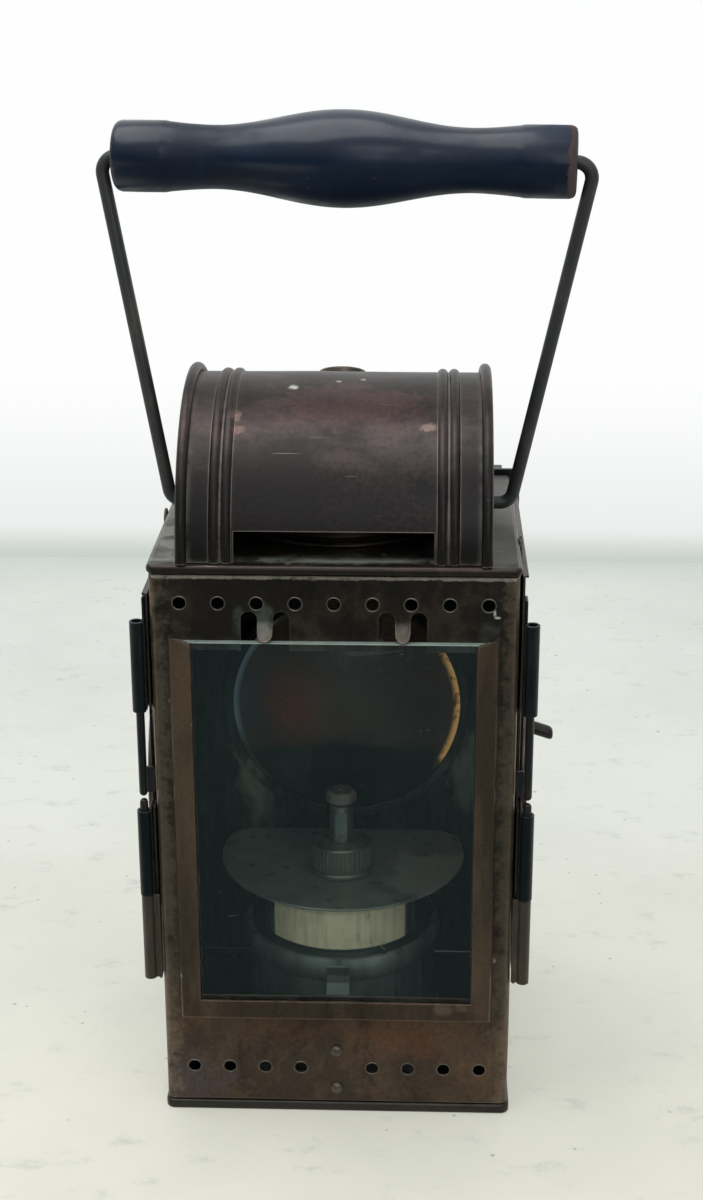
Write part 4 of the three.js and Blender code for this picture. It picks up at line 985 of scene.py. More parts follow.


# Marks: rust, rubbed copper, pale film and chips, with painted highlights and painted shade among them

# The panel's stains, rubbed places and pale film, with painted highlights along its corners and top edge.
PANEL_MARKS_AND_HIGHLIGHTS = tuple(Mark((x, -54.0, z), *rest) for x, z, *rest in (
    (22.0, 31.0, 17.0, (0.135, 0.060, 0.030), 0.55, (0.6, 1.0, 1.4)),
    (-20.0, 33.0, 13.0, (0.110, 0.055, 0.032), 0.45, (0.6, 1.0, 1.5)),
    (-52.0, 12.0, 16.0, (0.082, 0.062, 0.066), 0.6, (0.8, 1.0, 1.0)),
    # Darker along the panel's top, under the roof's lip.
    (0.0, 205.0, 19.0, (0.020, 0.016, 0.014), 0.7, (0.25, 1.0, 1.0)),
    (51.9, 187.9, 0.6, (0.70, 0.72, 0.62), 1.0, (1.0, 1.0, 0.35)),
    (52.9, 186.4, 0.6, (0.70, 0.72, 0.62), 1.0, (0.4, 1.0, 1.0)),
    (-23.0, 184.0, 5.0, (0.135, 0.155, 0.13), 0.7, (1.2, 1.0, 0.55)),
    (-31.0, 184.0, 3.0, (0.12, 0.13, 0.11), 0.5, (1.2, 1.0, 0.55)),
    (22.3, 180.0, 3.0, (0.080, 0.090, 0.075), 0.5, (1.2, 1.0, 0.55)),
    (50.0, 181.0, 5.0, (0.13, 0.135, 0.12), 0.4),
    # Painted highlights: light strips down the two rounded front corners.
    (-59.5, 108.0, 7.0, (0.180, 0.135, 0.095), 0.7, (1.0, 0.3, 0.04)),
    (59.5, 108.0, 7.0, (0.180, 0.135, 0.095), 0.6, (1.0, 0.3, 0.04)),
    # Painted highlight: a thin light line along the panel's top edge.
    (0.0, 199.4, 0.75, (0.40, 0.35, 0.29), 0.9, (0.0, 1.0, 1.0)),
    (-50.0, 180.0, 5.0, (0.14, 0.115, 0.09), 0.35),
))
FRAME_MARKS = (
    Mark((37.0, -58.5, 44.0), 3.6, (0.20, 0.145, 0.09), 0.75, (0.8, 1.0, 1.4)),
    Mark((43.5, -58.5, 44.5), 2.4, (0.18, 0.135, 0.085), 0.7, (0.8, 1.0, 1.3)),
)
HOOD_MARKS = (
    Mark((-14.7, -11.6, 251.9), 2.2, (0.70, 0.69, 0.60), 1.0),
    Mark((-32.4, -26.5, 246.2), 3.4, (0.26, 0.15, 0.13), 0.6, (1.4, 1.0, 0.6)),
    Mark((-31.7, -31.8, 242.4), 2.6, (0.24, 0.14, 0.12), 0.5),
    Mark((29.5, -30.4, 243.4), 2.4, (0.28, 0.18, 0.15), 0.6, (0.6, 1.0, 1.5)),
    Mark((4.0, -20.0, 249.0), 15.0, (0.115, 0.062, 0.060), 0.5, (0.45, 1.0, 1.0)),
)
ROOF_MARKS = (
    Mark((-44.0, -30.0, 203.3), 8.0, (0.42, 0.43, 0.37), 0.5, (1.0, 0.6, 1.0)),
    Mark((42.0, -44.0, 203.3), 7.0, (0.34, 0.35, 0.30), 0.5),
    Mark((0.0, -46.0, 203.3), 7.0, (0.30, 0.33, 0.27), 0.5, (0.22, 1.0, 1.0)),
)
# Painted highlights: soft olive reflections on the rear wall's inside, either side of the lens.
WALL_HIGHLIGHTS = (
    Mark((-37.0, 53.0, 80.0), 13.0, (0.62, 0.64, 0.44), 0.75, (1.3, 1.0, 0.7)),
    Mark((48.0, 53.0, 82.0), 12.0, (0.60, 0.60, 0.42), 0.7, (1.4, 1.0, 0.7)),
)
# Painted shade: the tray's floor darkened towards the rear, where it caught a bright line of light.
FLOOR_SHADE = Mark((0.0, 45.0, 3.5), 60.0, (0.003, 0.005, 0.005), 1.0, (0.2, 1.0, 1.0))
# Painted highlight: the shade plate lighter towards its front right.
SHEEN = Mark((34.0, -12.0, 70.0), 26.0, (0.56, 0.57, 0.48), 0.6)


class Finish(Enum):
    """The finishes of the lantern's pieces."""

    # The panel: a painted highlight on its faces that look up, and painted highlights among its marks.
    PANEL = Copper(
        "panel_copper", (0.027, 0.020, 0.015), (0.084, 0.056, 0.037), warmth=0.62, film_amount=0.45,
        glow=0.45, up_bare=0.8, up_from=60.0, wear=0.5, scratched=0.1, streaks=(1, 1, 0.7),
        marks=PANEL_MARKS_AND_HIGHLIGHTS)
    FRAME = Copper(
        "frame_copper", (0.080, 0.052, 0.035), (0.155, 0.100, 0.064), warmth=0.5, film_amount=0.18, wear=0.4,
        polish=0.25, scratched=0.12, marks=FRAME_MARKS)
    # The hood: painted shade towards its foot.
    HOOD = Copper(
        "hood_copper", (0.022, 0.018, 0.016), (0.064, 0.045, 0.042), film=(0.24, 0.235, 0.20),
        film_amount=0.6, corner_from=0.1, warmth=0.6, polish=0.36, metal=0.62, bare=(0.30, 0.25, 0.22),
        streaks=(0.6, 1.0, 0.8), wear=0.55, heat_amount=0.12, heat=(0.13, 0.07, 0.065),
        fade=(247.0, 222.0, 0.85), corner_reach=2.4, scratched=0.35, marks=HOOD_MARKS)
    ROOF = Copper(
        "roof_copper", (0.030, 0.024, 0.019), (0.055, 0.036, 0.026), (0.195, 0.20, 0.175), warmth=0.4,
        film_amount=1.1, film_up=1.1, streaks=EVEN, scratched=0.4, shelter=(53.0, -47.5), marks=ROOF_MARKS)
    # The vents' burrs: a painted highlight on their faces that look up.
    BURR = Copper(
        "burr_copper", (0.03, 0.025, 0.02), (0.08, 0.06, 0.045), bare=(0.62, 0.58, 0.50), up_bare=0.9,
        wear=0.2)
    BASE = Copper(
        "base_copper", (0.034, 0.030, 0.025), (0.075, 0.062, 0.050), warmth=0.4, film_amount=0.15,
        bare=(0.11, 0.09, 0.075), wear=0.3, streaks=(0.5, 1, 1), marks=(FLOOR_SHADE,))
    DOOR = Copper("door_copper", (0.012, 0.010, 0.009), (0.036, 0.025, 0.019), warmth=0.5, wear=0.5)
    SMALL = Copper("fitting_copper", (0.10, 0.085, 0.065), (0.22, 0.18, 0.14), polish=0.3, film_amount=0.3)
    WALL = Tin("wall_tin", (0.12, 0.13, 0.11), (0.014, 0.024, 0.025), 0.85, 0.34, 0.7, (0.085, 0.15),
               WALL_HIGHLIGHTS)
    TIN = Tin("generator_tin", (0.30, 0.33, 0.30), (0.09, 0.11, 0.105), 0.6, 0.48, 0.6)
    PLATE = Tin("shade_tin", (0.32, 0.33, 0.28), (0.13, 0.14, 0.125), 0.25, 0.42, 0.5, marks=(SHEEN,))
    BAND = BrushedBand("tank_tin_painted_sheen")
    BRASS = Tin("burner_brass", (0.30, 0.31, 0.255), (0.10, 0.11, 0.095), 0.6, 0.36, 0.75)
    TIP = Tin("burner_tip_stone", (0.22, 0.20, 0.165), (0.10, 0.095, 0.08), 0.7, 0.6, 0.2)
    STEEL = Steel("hinge_steel")
    PIN = Steel("pin_steel", (0.016, 0.015, 0.015), (0.045, 0.034, 0.028), (0.16, 0.14, 0.12), 0.30)
    BARREL = Steel("barrel_steel", (0.062, 0.048, 0.037), (0.110, 0.080, 0.058), (0.16, 0.13, 0.105), 0.34)
    WIRE = Steel("bail_steel", (0.046, 0.049, 0.048), (0.10, 0.092, 0.080), (0.22, 0.22, 0.20), 0.42, 0.6)
    LACQUER = Lacquer("grip_lacquer")
    PANE = Glass("pane_glass")
    EDGE = Tin("ground_glass_edge", (0.24, 0.29, 0.25), (0.13, 0.165, 0.15), 0.6, 0.5, 0.0)
    LENS = ClearedLens("lens_glass")
    GREEN = Glass("green_glass", (0.006, 0.055, 0.04), dust_amount=0.08, index=1.5)
    RED = Glass("red_glass", (0.09, 0.006, 0.004), dust_amount=0.08, index=1.5)


class Palette:
    """Builds each finish once."""

    def __init__(self) -> None:
        """Starts with no material built."""
        self.made: dict[Finish, Material] = {}

    def __call__(self, finish: Finish) -> Material:
        """Gives a finish's material, built on its first use."""
        if finish not in self.made:
            self.made[finish] = finish.value.material()
        return self.made[finish]


# Geometry Nodes


class Pattern(Graph):
    """One Geometry Nodes tree that repeats a small shape or follows a path."""

    def __init__(self, name: str, sizes: dict[str, float | int]) -> None:
        """Starts a tree with named inputs.

        Args:
            name: The tree's name.
            sizes: The inputs' names and values, lengths in metres.
        """
        super().__init__(bpy.data.node_groups.new(name, "GeometryNodeTree"))
        self.sizes = sizes
        face = self.tree.interface
        face.new_socket("Geometry", in_out="INPUT", socket_type="NodeSocketGeometry")
        for key, value in sizes.items():
            face.new_socket(key, in_out="INPUT", socket_type=f"NodeSocket{type(value).__name__.capitalize()}")
        face.new_socket("Geometry", in_out="OUTPUT", socket_type="NodeSocketGeometry")
        self.start = self.node("NodeGroupInput")
        self.end = self.node("NodeGroupOutput")

    def size(self, name: str) -> Socket:
        """Gives an input of the tree by its name."""
        return self.start.outputs[name]

    def vector(self, x: Any = 0.0, y: Any = 0.0, z: Any = 0.0) -> Socket:
        """Joins three values, or sockets, into a vector."""
        return self.out("ShaderNodeCombineXYZ", {0: x, 1: y, 2: z})

    def ring(self, radius: Any, sides: Any) -> Socket:
        """Draws a circle as a curve in XY."""
        return self.out("GeometryNodeCurvePrimitiveCircle", {"Resolution": sides, "Radius": radius},
                        mode="RADIUS")

    def rivet(self, segments: int, rings: int, flat: Socket) -> Socket:
        """Makes a domed head: a ball of the tree's Radius, flattened by a scale."""
        ball = {"Segments": segments, "Rings": rings, "Radius": self.size("Radius")}
        return self.out("GeometryNodeTransform", {
            "Geometry": self.out("GeometryNodeMeshUVSphere", ball), "Scale": flat})

    def joined(self, parts: Iterable[Socket]) -> Socket:
        """Joins geometries into one."""
        join = self.node("GeometryNodeJoinGeometry")
        for part in parts:
            self.tree.links.new(part, join.inputs[0])
        return join.outputs[0]

    def row(self, count: Any, first: Any, step: Any, shape: Socket, turn: Point3 = ORIGIN) -> Socket:
        """Repeats a shape along a line, from a first place by a step, each copy turned in radians."""
        line = self.out("GeometryNodeMeshLine", {"Count": count, "Start Location": first, "Offset": step})
        return self.out("GeometryNodeInstanceOnPoints", {"Points": line, "Instance": shape, "Rotation": turn})

    def run(self, name: str, geometry: Socket, finish: Material,
            source: Mesh | None = None, sharp: float = 40.0) -> Object:
        """Closes the tree, evaluates it and keeps the result as a plain mesh.

        Args:
            name: The piece's name.
            geometry: The tree's last geometry.
            finish: The material.
            source: A mesh that the tree starts from, if it uses one.
            sharp: The angle in degrees from which an edge stays sharp.

        Returns:
            The finished piece.
        """
        real = self.out("GeometryNodeRealizeInstances", {0: geometry})
        faced = self.out("GeometryNodeSetMaterial", {"Geometry": real, "Material": finish})
        self.tree.links.new(faced, self.end.inputs[0])
        holder = bpy.data.objects.new(f"{name}_source", source or bpy.data.meshes.new(f"{name}_source"))
        bpy.context.scene.collection.objects.link(holder)
        modifier = holder.modifiers.new("pattern", "NODES")
        modifier.node_group = self.tree
        sockets = {item.name: item.identifier for item in self.tree.interface.items_tree
                   if item.item_type == "SOCKET" and item.in_out == "INPUT"}
        for key, value in self.sizes.items():
            modifier[sockets[key]] = value
        depsgraph = bpy.context.evaluated_depsgraph_get()
        mesh = bpy.data.meshes.new_from_object(holder.evaluated_get(depsgraph))
        holder.modifiers.remove(modifier)
        bpy.data.objects.remove(holder)
        mesh.name = name
        return mesh_piece(name, mesh, finish, sharp)


# Sub-assemblies


@dataclass
class Assembly:
    """A sub-assembly: its finishes, and how its pieces are added."""

    finish: Palette

    def add(self, name: str, form: Form, finish: Finish, *nodes: str, body: Body = Body.CASING,
            slot: Slot = Slot.COPPER, sharp: float = SHARP) -> Object:
        """Makes a piece and fixes it to its body."""
        return seat(piece(name, form, self.finish(finish), sharp), body, slot, *nodes)

    def reface(self, made: Object, towards: Point3, finish: Finish) -> None:
        """Gives the faces that look one way a second finish.

        Args:
            made: The piece.
            towards: The direction in which they look.
            finish: Their finish.
        """
        made.data.materials.append(self.finish(finish))
        for polygon in made.data.polygons:
            if polygon.normal.dot(Vector(towards)) > 0.5:
                polygon.material_index = 1


@dataclass
class Casing(Assembly):
    """The square casing: base tray, folded panels, side walls, roof and chimney."""

    width: float = 120.0
    depth: float = 108.0
    height: float = 200.0
    sheet: float = 1.0
    bend: float = 2.6
    corner: float = 1.2
    corner_return: float = 10.0
    base_rim: float = 3.6
    base_overhang: float = 0.7
    roof_rim: float = 3.0
    roof_overhang: float = 0.6
    vent: float = 2.25
    burr: float = 0.17
    burr_radius: float = 2.27
    vent_pitch: float = 12.5
    vents: int = 9
    top_vents: float = 190.5
    bottom_vents: float = 17.3
    chimney: float = 30.0
    stack_sunk: float = 6.0
    stack_height: float = 20.0
    stack_collar: float = 5.0
    lens_hole: float = 43.0
    lens_height: float = 113.6
    side_hole: float = 38.0
    hole_half: float = 46.2
    hole_bottom: float = 46.6
    hole_top: float = 174.6
    notch: float = 2.65
    notch_arc: float = 185.15
    tongue: float = 2.55
    tongue_tip: float = 179.6
    tongue_centre: float = 22.3
    tongue_spring: float = 2.6

    @property
    def wall_bottom(self) -> float:
        """The lower edge of the panels."""
        return self.base_rim + GAP

    @property
    def roof_top(self) -> float:
        """The level of the roof's upper face."""
        return self.height + GAP + self.roof_rim

    def vent_row(self, height: float, with_middle: bool) -> list[list[Point2]]:
        """Outlines one row of round vents, with or without the middle one."""
        middle = (self.vents - 1) / 2
        return [circle(((i - middle) * self.vent_pitch, height), self.vent, 28)
                for i in range(self.vents) if with_middle or i != middle]

    def window_hole(self) -> list[Point2]:
        """Outlines the window's hole with its notches and the two spring tongues."""
        outline: list[Point2] = [(-self.hole_half, self.hole_bottom), (self.hole_half, self.hole_bottom),
                                 (self.hole_half, self.hole_top)]
        for centre in (self.tongue_centre, -self.tongue_centre):
            outer = self.tongue + 2 * self.notch
            right, left = centre + outer - self.notch, centre - outer + self.notch
            outline.append((centre + outer, self.hole_top))
            outline += arc((right, self.notch_arc), self.notch, 0, 180, 12)
            outline += arc((centre, self.tongue_tip + self.tongue * 0.5), self.tongue, 0, -180, 8)
            outline += arc((left, self.notch_arc), self.notch, 0, 180, 12)
            outline.append((centre - outer, self.hole_top))
        outline.append((-self.hole_half, self.hole_top))
        return outline

    def folded(self, loops: Sequence[Sequence[Point2]], seed: float) -> Form:
        """Cuts a panel's blank and folds its two returns.

        Args:
            loops: The holes.
            seed: Picks the pattern of its dents.

        Returns:
            The panel, facing -Y, before its tongues are sprung.
        """
        flat = self.width / 2 - self.bend
        run = self.bend * pi / 2
        reach = flat + run + self.corner_return - self.bend
        blank = [(-reach, self.wall_bottom), (reach, self.wall_bottom), (reach, self.height),
                 (-reach, self.height)]
        bends = [(Axis.X, side * (flat + run * i / 8)) for side in (-1, 1) for i in range(9)]
        steps = bends + every(Axis.X, -56, 57) + every(Axis.Y, 10, 199) + every(Axis.Y, 179, 185.5, 1.3)
        sheet = cut_sheet([blank, *loops], self.sheet, 0.14, steps)
        half = self.depth / 2

        def fold(u: float, z: float, inward: float) -> Point3:
            """Maps a place of the blank to the folded panel."""
            side, away = copysign(1, u), abs(u)
            if away <= flat:
                return (u, inward - half, z)
            if away <= flat + run:
                angle = (away - flat) / self.bend
                radius = self.bend - inward
                return (side * (flat + radius * sin(angle)), self.bend - half - radius * cos(angle), z)
            return (side * (self.width / 2 - inward), self.bend - half + away - flat - run, z)
        return dented(sheet.placed(fold), 0.16, 34, seed)

    def spring(self, form: Form) -> Form:
        """Bends the two tongues out over the pane's top edge.

        Args:
            form: The folded panel.

        Returns:
            The panel with its tongues sprung.
        """
        def bent(x: float, y: float, z: float) -> Point3:
            """Moves a point of a tongue outwards."""
            near = min(abs(x - self.tongue_centre), abs(x + self.tongue_centre))
            if near > self.tongue + 0.15 or z > self.notch_arc or z < self.hole_top - 2:
                return (x, y, z)
            share = (self.notch_arc - z) / (self.notch_arc - self.tongue_tip)
            return (x, y - self.tongue_spring * share ** 1.6, z)
        return form.placed(bent)

    def panels(self) -> None:
        """Builds the window panel and the lens panel with their vents' raised rims."""
        top, bottom = self.vent_row(self.top_vents, True), self.vent_row(self.bottom_vents, False)
        front = self.spring(self.folded([*top, *bottom, self.window_hole()], 0.0))
        self.reface(self.add("front_sheet", front, Finish.PANEL, "window_panel"), (0, 1, 0), Finish.WALL)
        hole = circle((0, self.lens_height), self.lens_hole, 96)
        rear = self.folded([*top, hole], 5.0).placed(lambda x, y, z: (-x, -y, z))
        self.reface(self.add("rear_sheet", rear, Finish.PANEL, "lens_panel"), (0, -1, 0), Finish.WALL)
        self.vent_rims("front", -1, True)
        self.vent_rims("rear", 1, False)

    def vent_rims(self, name: str, side: int, two_rows: bool) -> None:
        """Repeats the thin burr round each vent of a panel.

        Args:
            name: The panel's name.
            side: The side that it faces along Y.
            two_rows: Whether the panel has a row at its foot, too.
        """
        tree = Pattern(f"{name}_vent_burrs", {
            "Pitch": self.vent_pitch * MM, "Radius": self.burr_radius * MM, "Burr": self.burr * MM,
            "Reach": self.vent_pitch * (self.vents - 1) / 2 * MM, "Count": self.vents,
            "Half Count": (self.vents - 1) // 2})
        ring = tree.out("GeometryNodeCurveToMesh", {
            "Curve": tree.ring(tree.size("Radius"), 28), "Profile Curve": tree.ring(tree.size("Burr"), 8)})
        first = tree.out("ShaderNodeMath", {0: tree.size("Reach"), 1: -1.0}, operation="MULTIPLY")
        step = tree.vector(tree.size("Pitch"))
        rows = [("Count", first, self.top_vents)]
        if two_rows:
            rows += [("Half Count", start, self.bottom_vents) for start in (first, tree.size("Pitch"))]
        y = side * self.depth / 2 * MM
        made = tree.run(f"{name}_vent_burr_rings", tree.joined(
            tree.row(tree.size(count), tree.vector(start, y, height * MM), step, ring, (pi / 2, 0, 0))
            for count, start, height in rows), self.finish(Finish.BURR))
        seat(made, Body.CASING, Slot.COPPER)

    def walls(self) -> None:
        """Builds the two side walls, tinned within."""
        half = self.depth / 2 - self.bend
        outline = [(-half, self.wall_bottom), (half, self.wall_bottom), (half, self.height),
                   (-half, self.height)]
        for side, name in ((-1, "left_wall"), (1, "right_wall")):
            hole = circle((0, self.lens_height), self.side_hole, 96)
            steps = every(Axis.X, -48, 49) + every(Axis.Y, 10, 199)
            sheet = dented(cut_sheet([outline, hole], self.sheet, 0.1, steps), 0.14, 30, side * 3)
            form = upright(sheet, side, self.width / 2 - 2 * self.sheet - GAP)
            self.reface(self.add(f"{name}_sheet", form, Finish.PANEL, name), (-side, 0, 0), Finish.WALL)

    def base(self) -> None:
        """Builds the base tray with its rolled rim."""
        x, y = self.width / 2 + self.base_overhang, self.depth / 2 + self.base_overhang
        r = self.base_rim / 2
        path = rounded_box((r - x, r - y), (x - r, y - r), self.corner, 6)
        rim = edged(path, [(px, pz + r) for px, pz in rounded_box((-r, -r), (r, r), r * 0.5, 4)])
        floor = cut_sheet([rounded_box((1 - x, 1 - y), (x - 1, y - 1), self.corner, 5)], self.sheet, 0.1)
        form = dented(rim, 0.3, 18, 2.0).add(floor).placed(lambda x, y, z: (x, y, max(z, 0.0)))
        self.add("base_tray_sheet", form, Finish.BASE, "base_tray")

    def roof(self) -> None:
        """Builds the roof plate with its rolled edge and the chimney's collar."""
        x, y = self.width / 2 + self.roof_overhang, self.depth / 2 + self.roof_overhang
        r = self.roof_rim / 2
        path = rounded_box((r - x, r - y), (x - r, y - r), self.corner, 6)
        low = self.height + GAP
        rim = edged(path, [(px, pz + r + low) for px, pz in rounded_box((-r, -r), (r, r), r * 0.8, 4)])
        inset = 1.2
        outline = rounded_box((inset - x, inset - y), (x - inset, y - inset), self.corner, 5)
        steps = every(Axis.X, -56, 57) + every(Axis.Y, -48, 49)
        top = cut_sheet([outline, circle((0, 0), self.chimney + GAP, 72)], self.sheet, 0.1, steps)
        form = dented(rim, 0.12, 22, 4.0)
        form.add(dented(top, 0.1, 26, 6.0).shifted(dz=self.roof_top - self.sheet))
        self.add("roof_sheet", form, Finish.ROOF, "roof_plate")

    def stack(self) -> None:
        """Builds the chimney under the hood."""
        outer, inner, foot = self.chimney, self.chimney - self.sheet, self.roof_top
        low, top, collar = foot - self.stack_sunk, foot + self.stack_height, outer + self.stack_collar
        edge = 0.25
        thick = foot + GAP + self.sheet
        profile = [
            (inner, low), (outer, low), (outer, foot + GAP), (collar - edge, foot + GAP),
            (collar, foot + GAP + edge), (collar, thick - edge), (collar - edge, thick), (outer + 1, thick),
            (outer, thick + 0.9), (outer, top - edge), (outer - edge, top), (inner + edge, top),
            (inner, top - edge)]
        self.add("chimney_pipe", turned(profile, sides=96, closed=True), Finish.ROOF, "chimney")

    def build(self) -> None:
        """Builds the whole casing."""
        self.base()
        self.panels()
        self.walls()
        self.roof()
        self.stack()


@dataclass
class Window(Assembly):
    """The bevelled window frame, its pane and the rivets below it."""

    face: float = 54.0
    front: float = -58.7
    half_sight: float = 46.5
    sill: float = 46.0
    pane_top: float = 178.0
    pane_thickness: float = 2.6
    pane_overlap: float = 3.4
    width: float = 7.4
    sheet: float = 0.9
    ridge_inset: float = 1.3
    slope: float = 0.6
    top_rise: float = 1.8
    end_radius: float = 3.0
    post_steps: int = 14
    sill_steps: int = 10
    rivet: float = 2.4
    rivet_heights: Point2 = (9.1, 24.2)

    def section(self) -> list[Point2]:
        """Lists the frame's section: distance from its outer edge, and height above the panel."""
        under = GAP + self.pane_thickness + GAP
        lip = under + self.sheet
        ridge = lip + self.slope
        inset = self.ridge_inset
        return [
            (0.0, GAP), (0.12, ridge * 0.45), (inset * 0.45, ridge * 0.86), (inset * 0.72, ridge - 0.12),
            (inset, ridge), (inset + 0.35, ridge - 0.02), (inset + 0.9, ridge - 0.16),
            (self.width * 0.55, lip + self.slope * 0.42), (self.width - 0.5, lip + 0.04),
            (self.width - 0.12, lip - 0.1), (self.width, lip - 0.35), (self.width, under),
            (inset + self.sheet, ridge - self.sheet), (self.sheet, GAP)]

    def frame(self) -> None:
        """Builds the frame, mitred at its two lower corners."""
        outer = self.half_sight + self.width
        bottom = self.sill - self.width
        top = self.pane_top + self.top_rise

        def end(u: float) -> float:
            """Gives the height of the frame's rounded upper end."""
            inside = max(0.0, u - (self.width - self.end_radius))
            return top - self.end_radius + sqrt(max(0.0, self.end_radius ** 2 - inside ** 2))

        section = self.section()

        def post(side: int, share: float) -> list[Point3]:
            """Places the section on the frame's left or right post, at a share of its height."""
            return [(side * (outer - u), -self.face - v, (end(u) - bottom - u) * share + bottom + u)
                    for u, v in section]
        heights = [1 - i / self.post_steps for i in range(self.post_steps + 1)]
        places = [2 * i / self.sill_steps - 1 for i in range(1, self.sill_steps + 1)]
        rings = [post(-1, share) for share in heights]
        rings += [[(place * (outer - u), -self.face - v, bottom + u) for u, v in section] for place in places]
        rings += [post(1, share) for share in reversed(heights[:-1])]
        form = dented(lofted(rings), 0.14, 24, 1.5).placed(lambda x, y, z: (x, max(y, self.front), z))
        self.add("window_frame_sheet", form, Finish.FRAME, "window_frame")

    def pane(self) -> None:
        """Builds the thick pane with ground edges."""
        half = self.half_sight + self.pane_overlap
        low = self.sill - self.pane_overlap
        sheet = cut_sheet([[(-half, low), (half, low), (half, self.pane_top), (-half, self.pane_top)]],
                          self.pane_thickness, 0.25)
        form = sheet.placed(lambda x, y, z: (x, z - self.face - GAP - self.pane_thickness, y))
        made = self.add("window_pane_glass", form, Finish.PANE, "window_pane", slot=Slot.PANE)
        self.reface(made, (0, 0, 1), Finish.EDGE)

    def rivets(self) -> None:
        """Repeats the domed rivet that holds the clip behind the panel."""
        low, high = self.rivet_heights
        tree = Pattern("clip_rivets", {
            "Pitch": (high - low) * MM, "Radius": self.rivet * MM, "Flatness": 0.7, "Count": 2})
        head = tree.rivet(32, 16, tree.vector(1.0, tree.size("Flatness"), 1.0))
        row = tree.row(tree.size("Count"), tree.vector(0.0, (0.05 - self.face) * MM, low * MM),
                       tree.vector(0.0, 0.0, tree.size("Pitch")), head)
        made = tree.run("clip_rivet_heads", row, self.finish(Finish.SMALL))
        seat(made, Body.CASING, Slot.COPPER, "upper_clip_rivet", "lower_clip_rivet")

    def build(self) -> None:
        """Builds the whole window."""
        self.frame()
        self.pane()
        self.rivets()


@dataclass
class Hood(Assembly):
    """The beaded half-drum over the chimney, with its sunk ends and the disc on its crown."""

    axis_height: float = 201.2
    radius: float = 52.0
    length: float = 102.0
    sheet: float = 0.9
    sink: float = 2.1
    rim: float = 1.85
    rim_lift: float = 1.2
    bead: float = 1.8
    bead_lift: float = 1.2
    beads: Point2 = (12.3, 16.2)
    slot_half: float = 32.3
    slot_top: float = 12.6
    end_inset: float = 2.6
    eye_height: float = 7.8
    eye: float = 2.65
    disc: float = 8.4
    disc_height: float = 1.2
    disc_tilt: float = 27.0
    dent: float = 0.25
    dent_wave: float = 28.0
    steps: int = 76
    sharp: float = 40.0

    def profile(self) -> list[Point2]:
        """Lists the drum's outer line: place along X and radius, with its rims and beads."""
        edge = self.length / 2 - self.rim
        line = arc((-edge, self.radius + self.rim_lift), self.rim, 235, -40, 16)
        crown = self.radius + self.bead_lift - self.bead
        reach = degrees(acos((self.radius - crown) / self.bead))
        line.append((-edge + self.rim + 1.2, self.radius))
        for inset in self.beads:
            line += arc((inset - self.length / 2, crown), self.bead, 90 + reach, 90 - reach, 8)
        flat = self.beads[-1] - self.length / 2 + 4
        middle = {*(flat - 2 * flat * i / 8 for i in range(9)), -self.slot_half, self.slot_half}
        return [*line, *((x, self.radius) for x in sorted(middle)), *((-x, r) for x, r in reversed(line))]

    def shell(self) -> None:
        """Builds the drum as one dented skin with its slots, then gives it its wall."""
        profile = self.profile()
        start = degrees(asin((self.sink + GAP) / self.radius))
        slot = degrees(asin(self.slot_top / self.radius))
        steps = self.steps
        angles = [start, *(start + (slot - start) * i / 3 for i in range(1, 3)), slot]
        angles += [slot + (180 - 2 * slot) * i / steps for i in range(1, steps + 1)]
        angles += [180 - a for a in reversed(angles[:3])]
        form = Form()
        count = len(profile)
        for angle in angles:
            a = radians(angle)
            for x, r in profile:
                dent = noise.noise(Vector((x / self.dent_wave, cos(a) * 2, sin(a) * 2))) * self.dent
                form.points.append((x, -(r + dent) * cos(a), self.axis_height + (r + dent) * sin(a)))
        for i in range(len(angles) - 1):
            middle = (angles[i] + angles[i + 1]) / 2
            for k in range(count - 1):
                x = (profile[k][0] + profile[k + 1][0]) / 2
                if abs(x) < self.slot_half and (middle < slot or middle > 180 - slot):
                    continue
                a, b = i * count + k, (i + 1) * count + k
                form.faces.append((a, a + 1, b + 1, b))
        made = piece("hood_drum", form, self.finish(Finish.HOOD), self.sharp)
        wall = made.modifiers.new("wall", "SOLIDIFY")
        wall.thickness = self.sheet * MM
        wall.offset = -1
        made_solid = made.evaluated_get(bpy.context.evaluated_depsgraph_get())
        mesh = bpy.data.meshes.new_from_object(made_solid)
        made.modifiers.clear()
        made.data = mesh
        mesh.set_sharp_from_angle(angle=radians(self.sharp))
        seat(made, Body.CASING, Slot.COPPER, "hood_shell")

    def ends(self) -> None:
        """Builds the two sunk ends with the bail's eyes."""
        radius = self.radius - self.sheet - GAP
        start = degrees(asin((self.sink + GAP) / radius))
        outline = arc((0, 0), radius, start, 180 - start, 64)
        eye = circle((0, self.eye_height), self.eye, 28)
        for side, name in ((-1, "left_hood_end"), (1, "right_hood_end")):
            sheet = cut_sheet([outline, eye], self.sheet)
            plane = self.length / 2 - self.end_inset - self.sheet
            form = upright(sheet, side, plane).shifted(dz=self.axis_height)
            self.add(f"{name}_sheet", form, Finish.HOOD, name)

    def crown(self) -> None:
        """Builds the disc behind the crown's crest."""
        low, top, r = self.radius - 1.0, self.radius + GAP + self.disc_height, self.disc
        profile = [(0.0, low), (r - 0.2, low), (r, low + 0.4), (r, top - 0.5), (r - 0.3, top - 0.12),
                   (r - 0.8, top), (r - 2.4, top + 0.05), (r - 3.0, top - 0.15), (0.0, top)]
        tilt = Matrix.Rotation(radians(-self.disc_tilt), 3, "X")
        form = turned(profile, sides=64).placed(lambda x, y, z: tuple(tilt @ Vector((x, y, z))))
        self.add("crown_disc", form.shifted(dz=self.axis_height), Finish.SMALL, "hood_boss")

    def build(self) -> None:
        """Builds the whole hood."""
        self.shell()
        self.ends()
        self.crown()


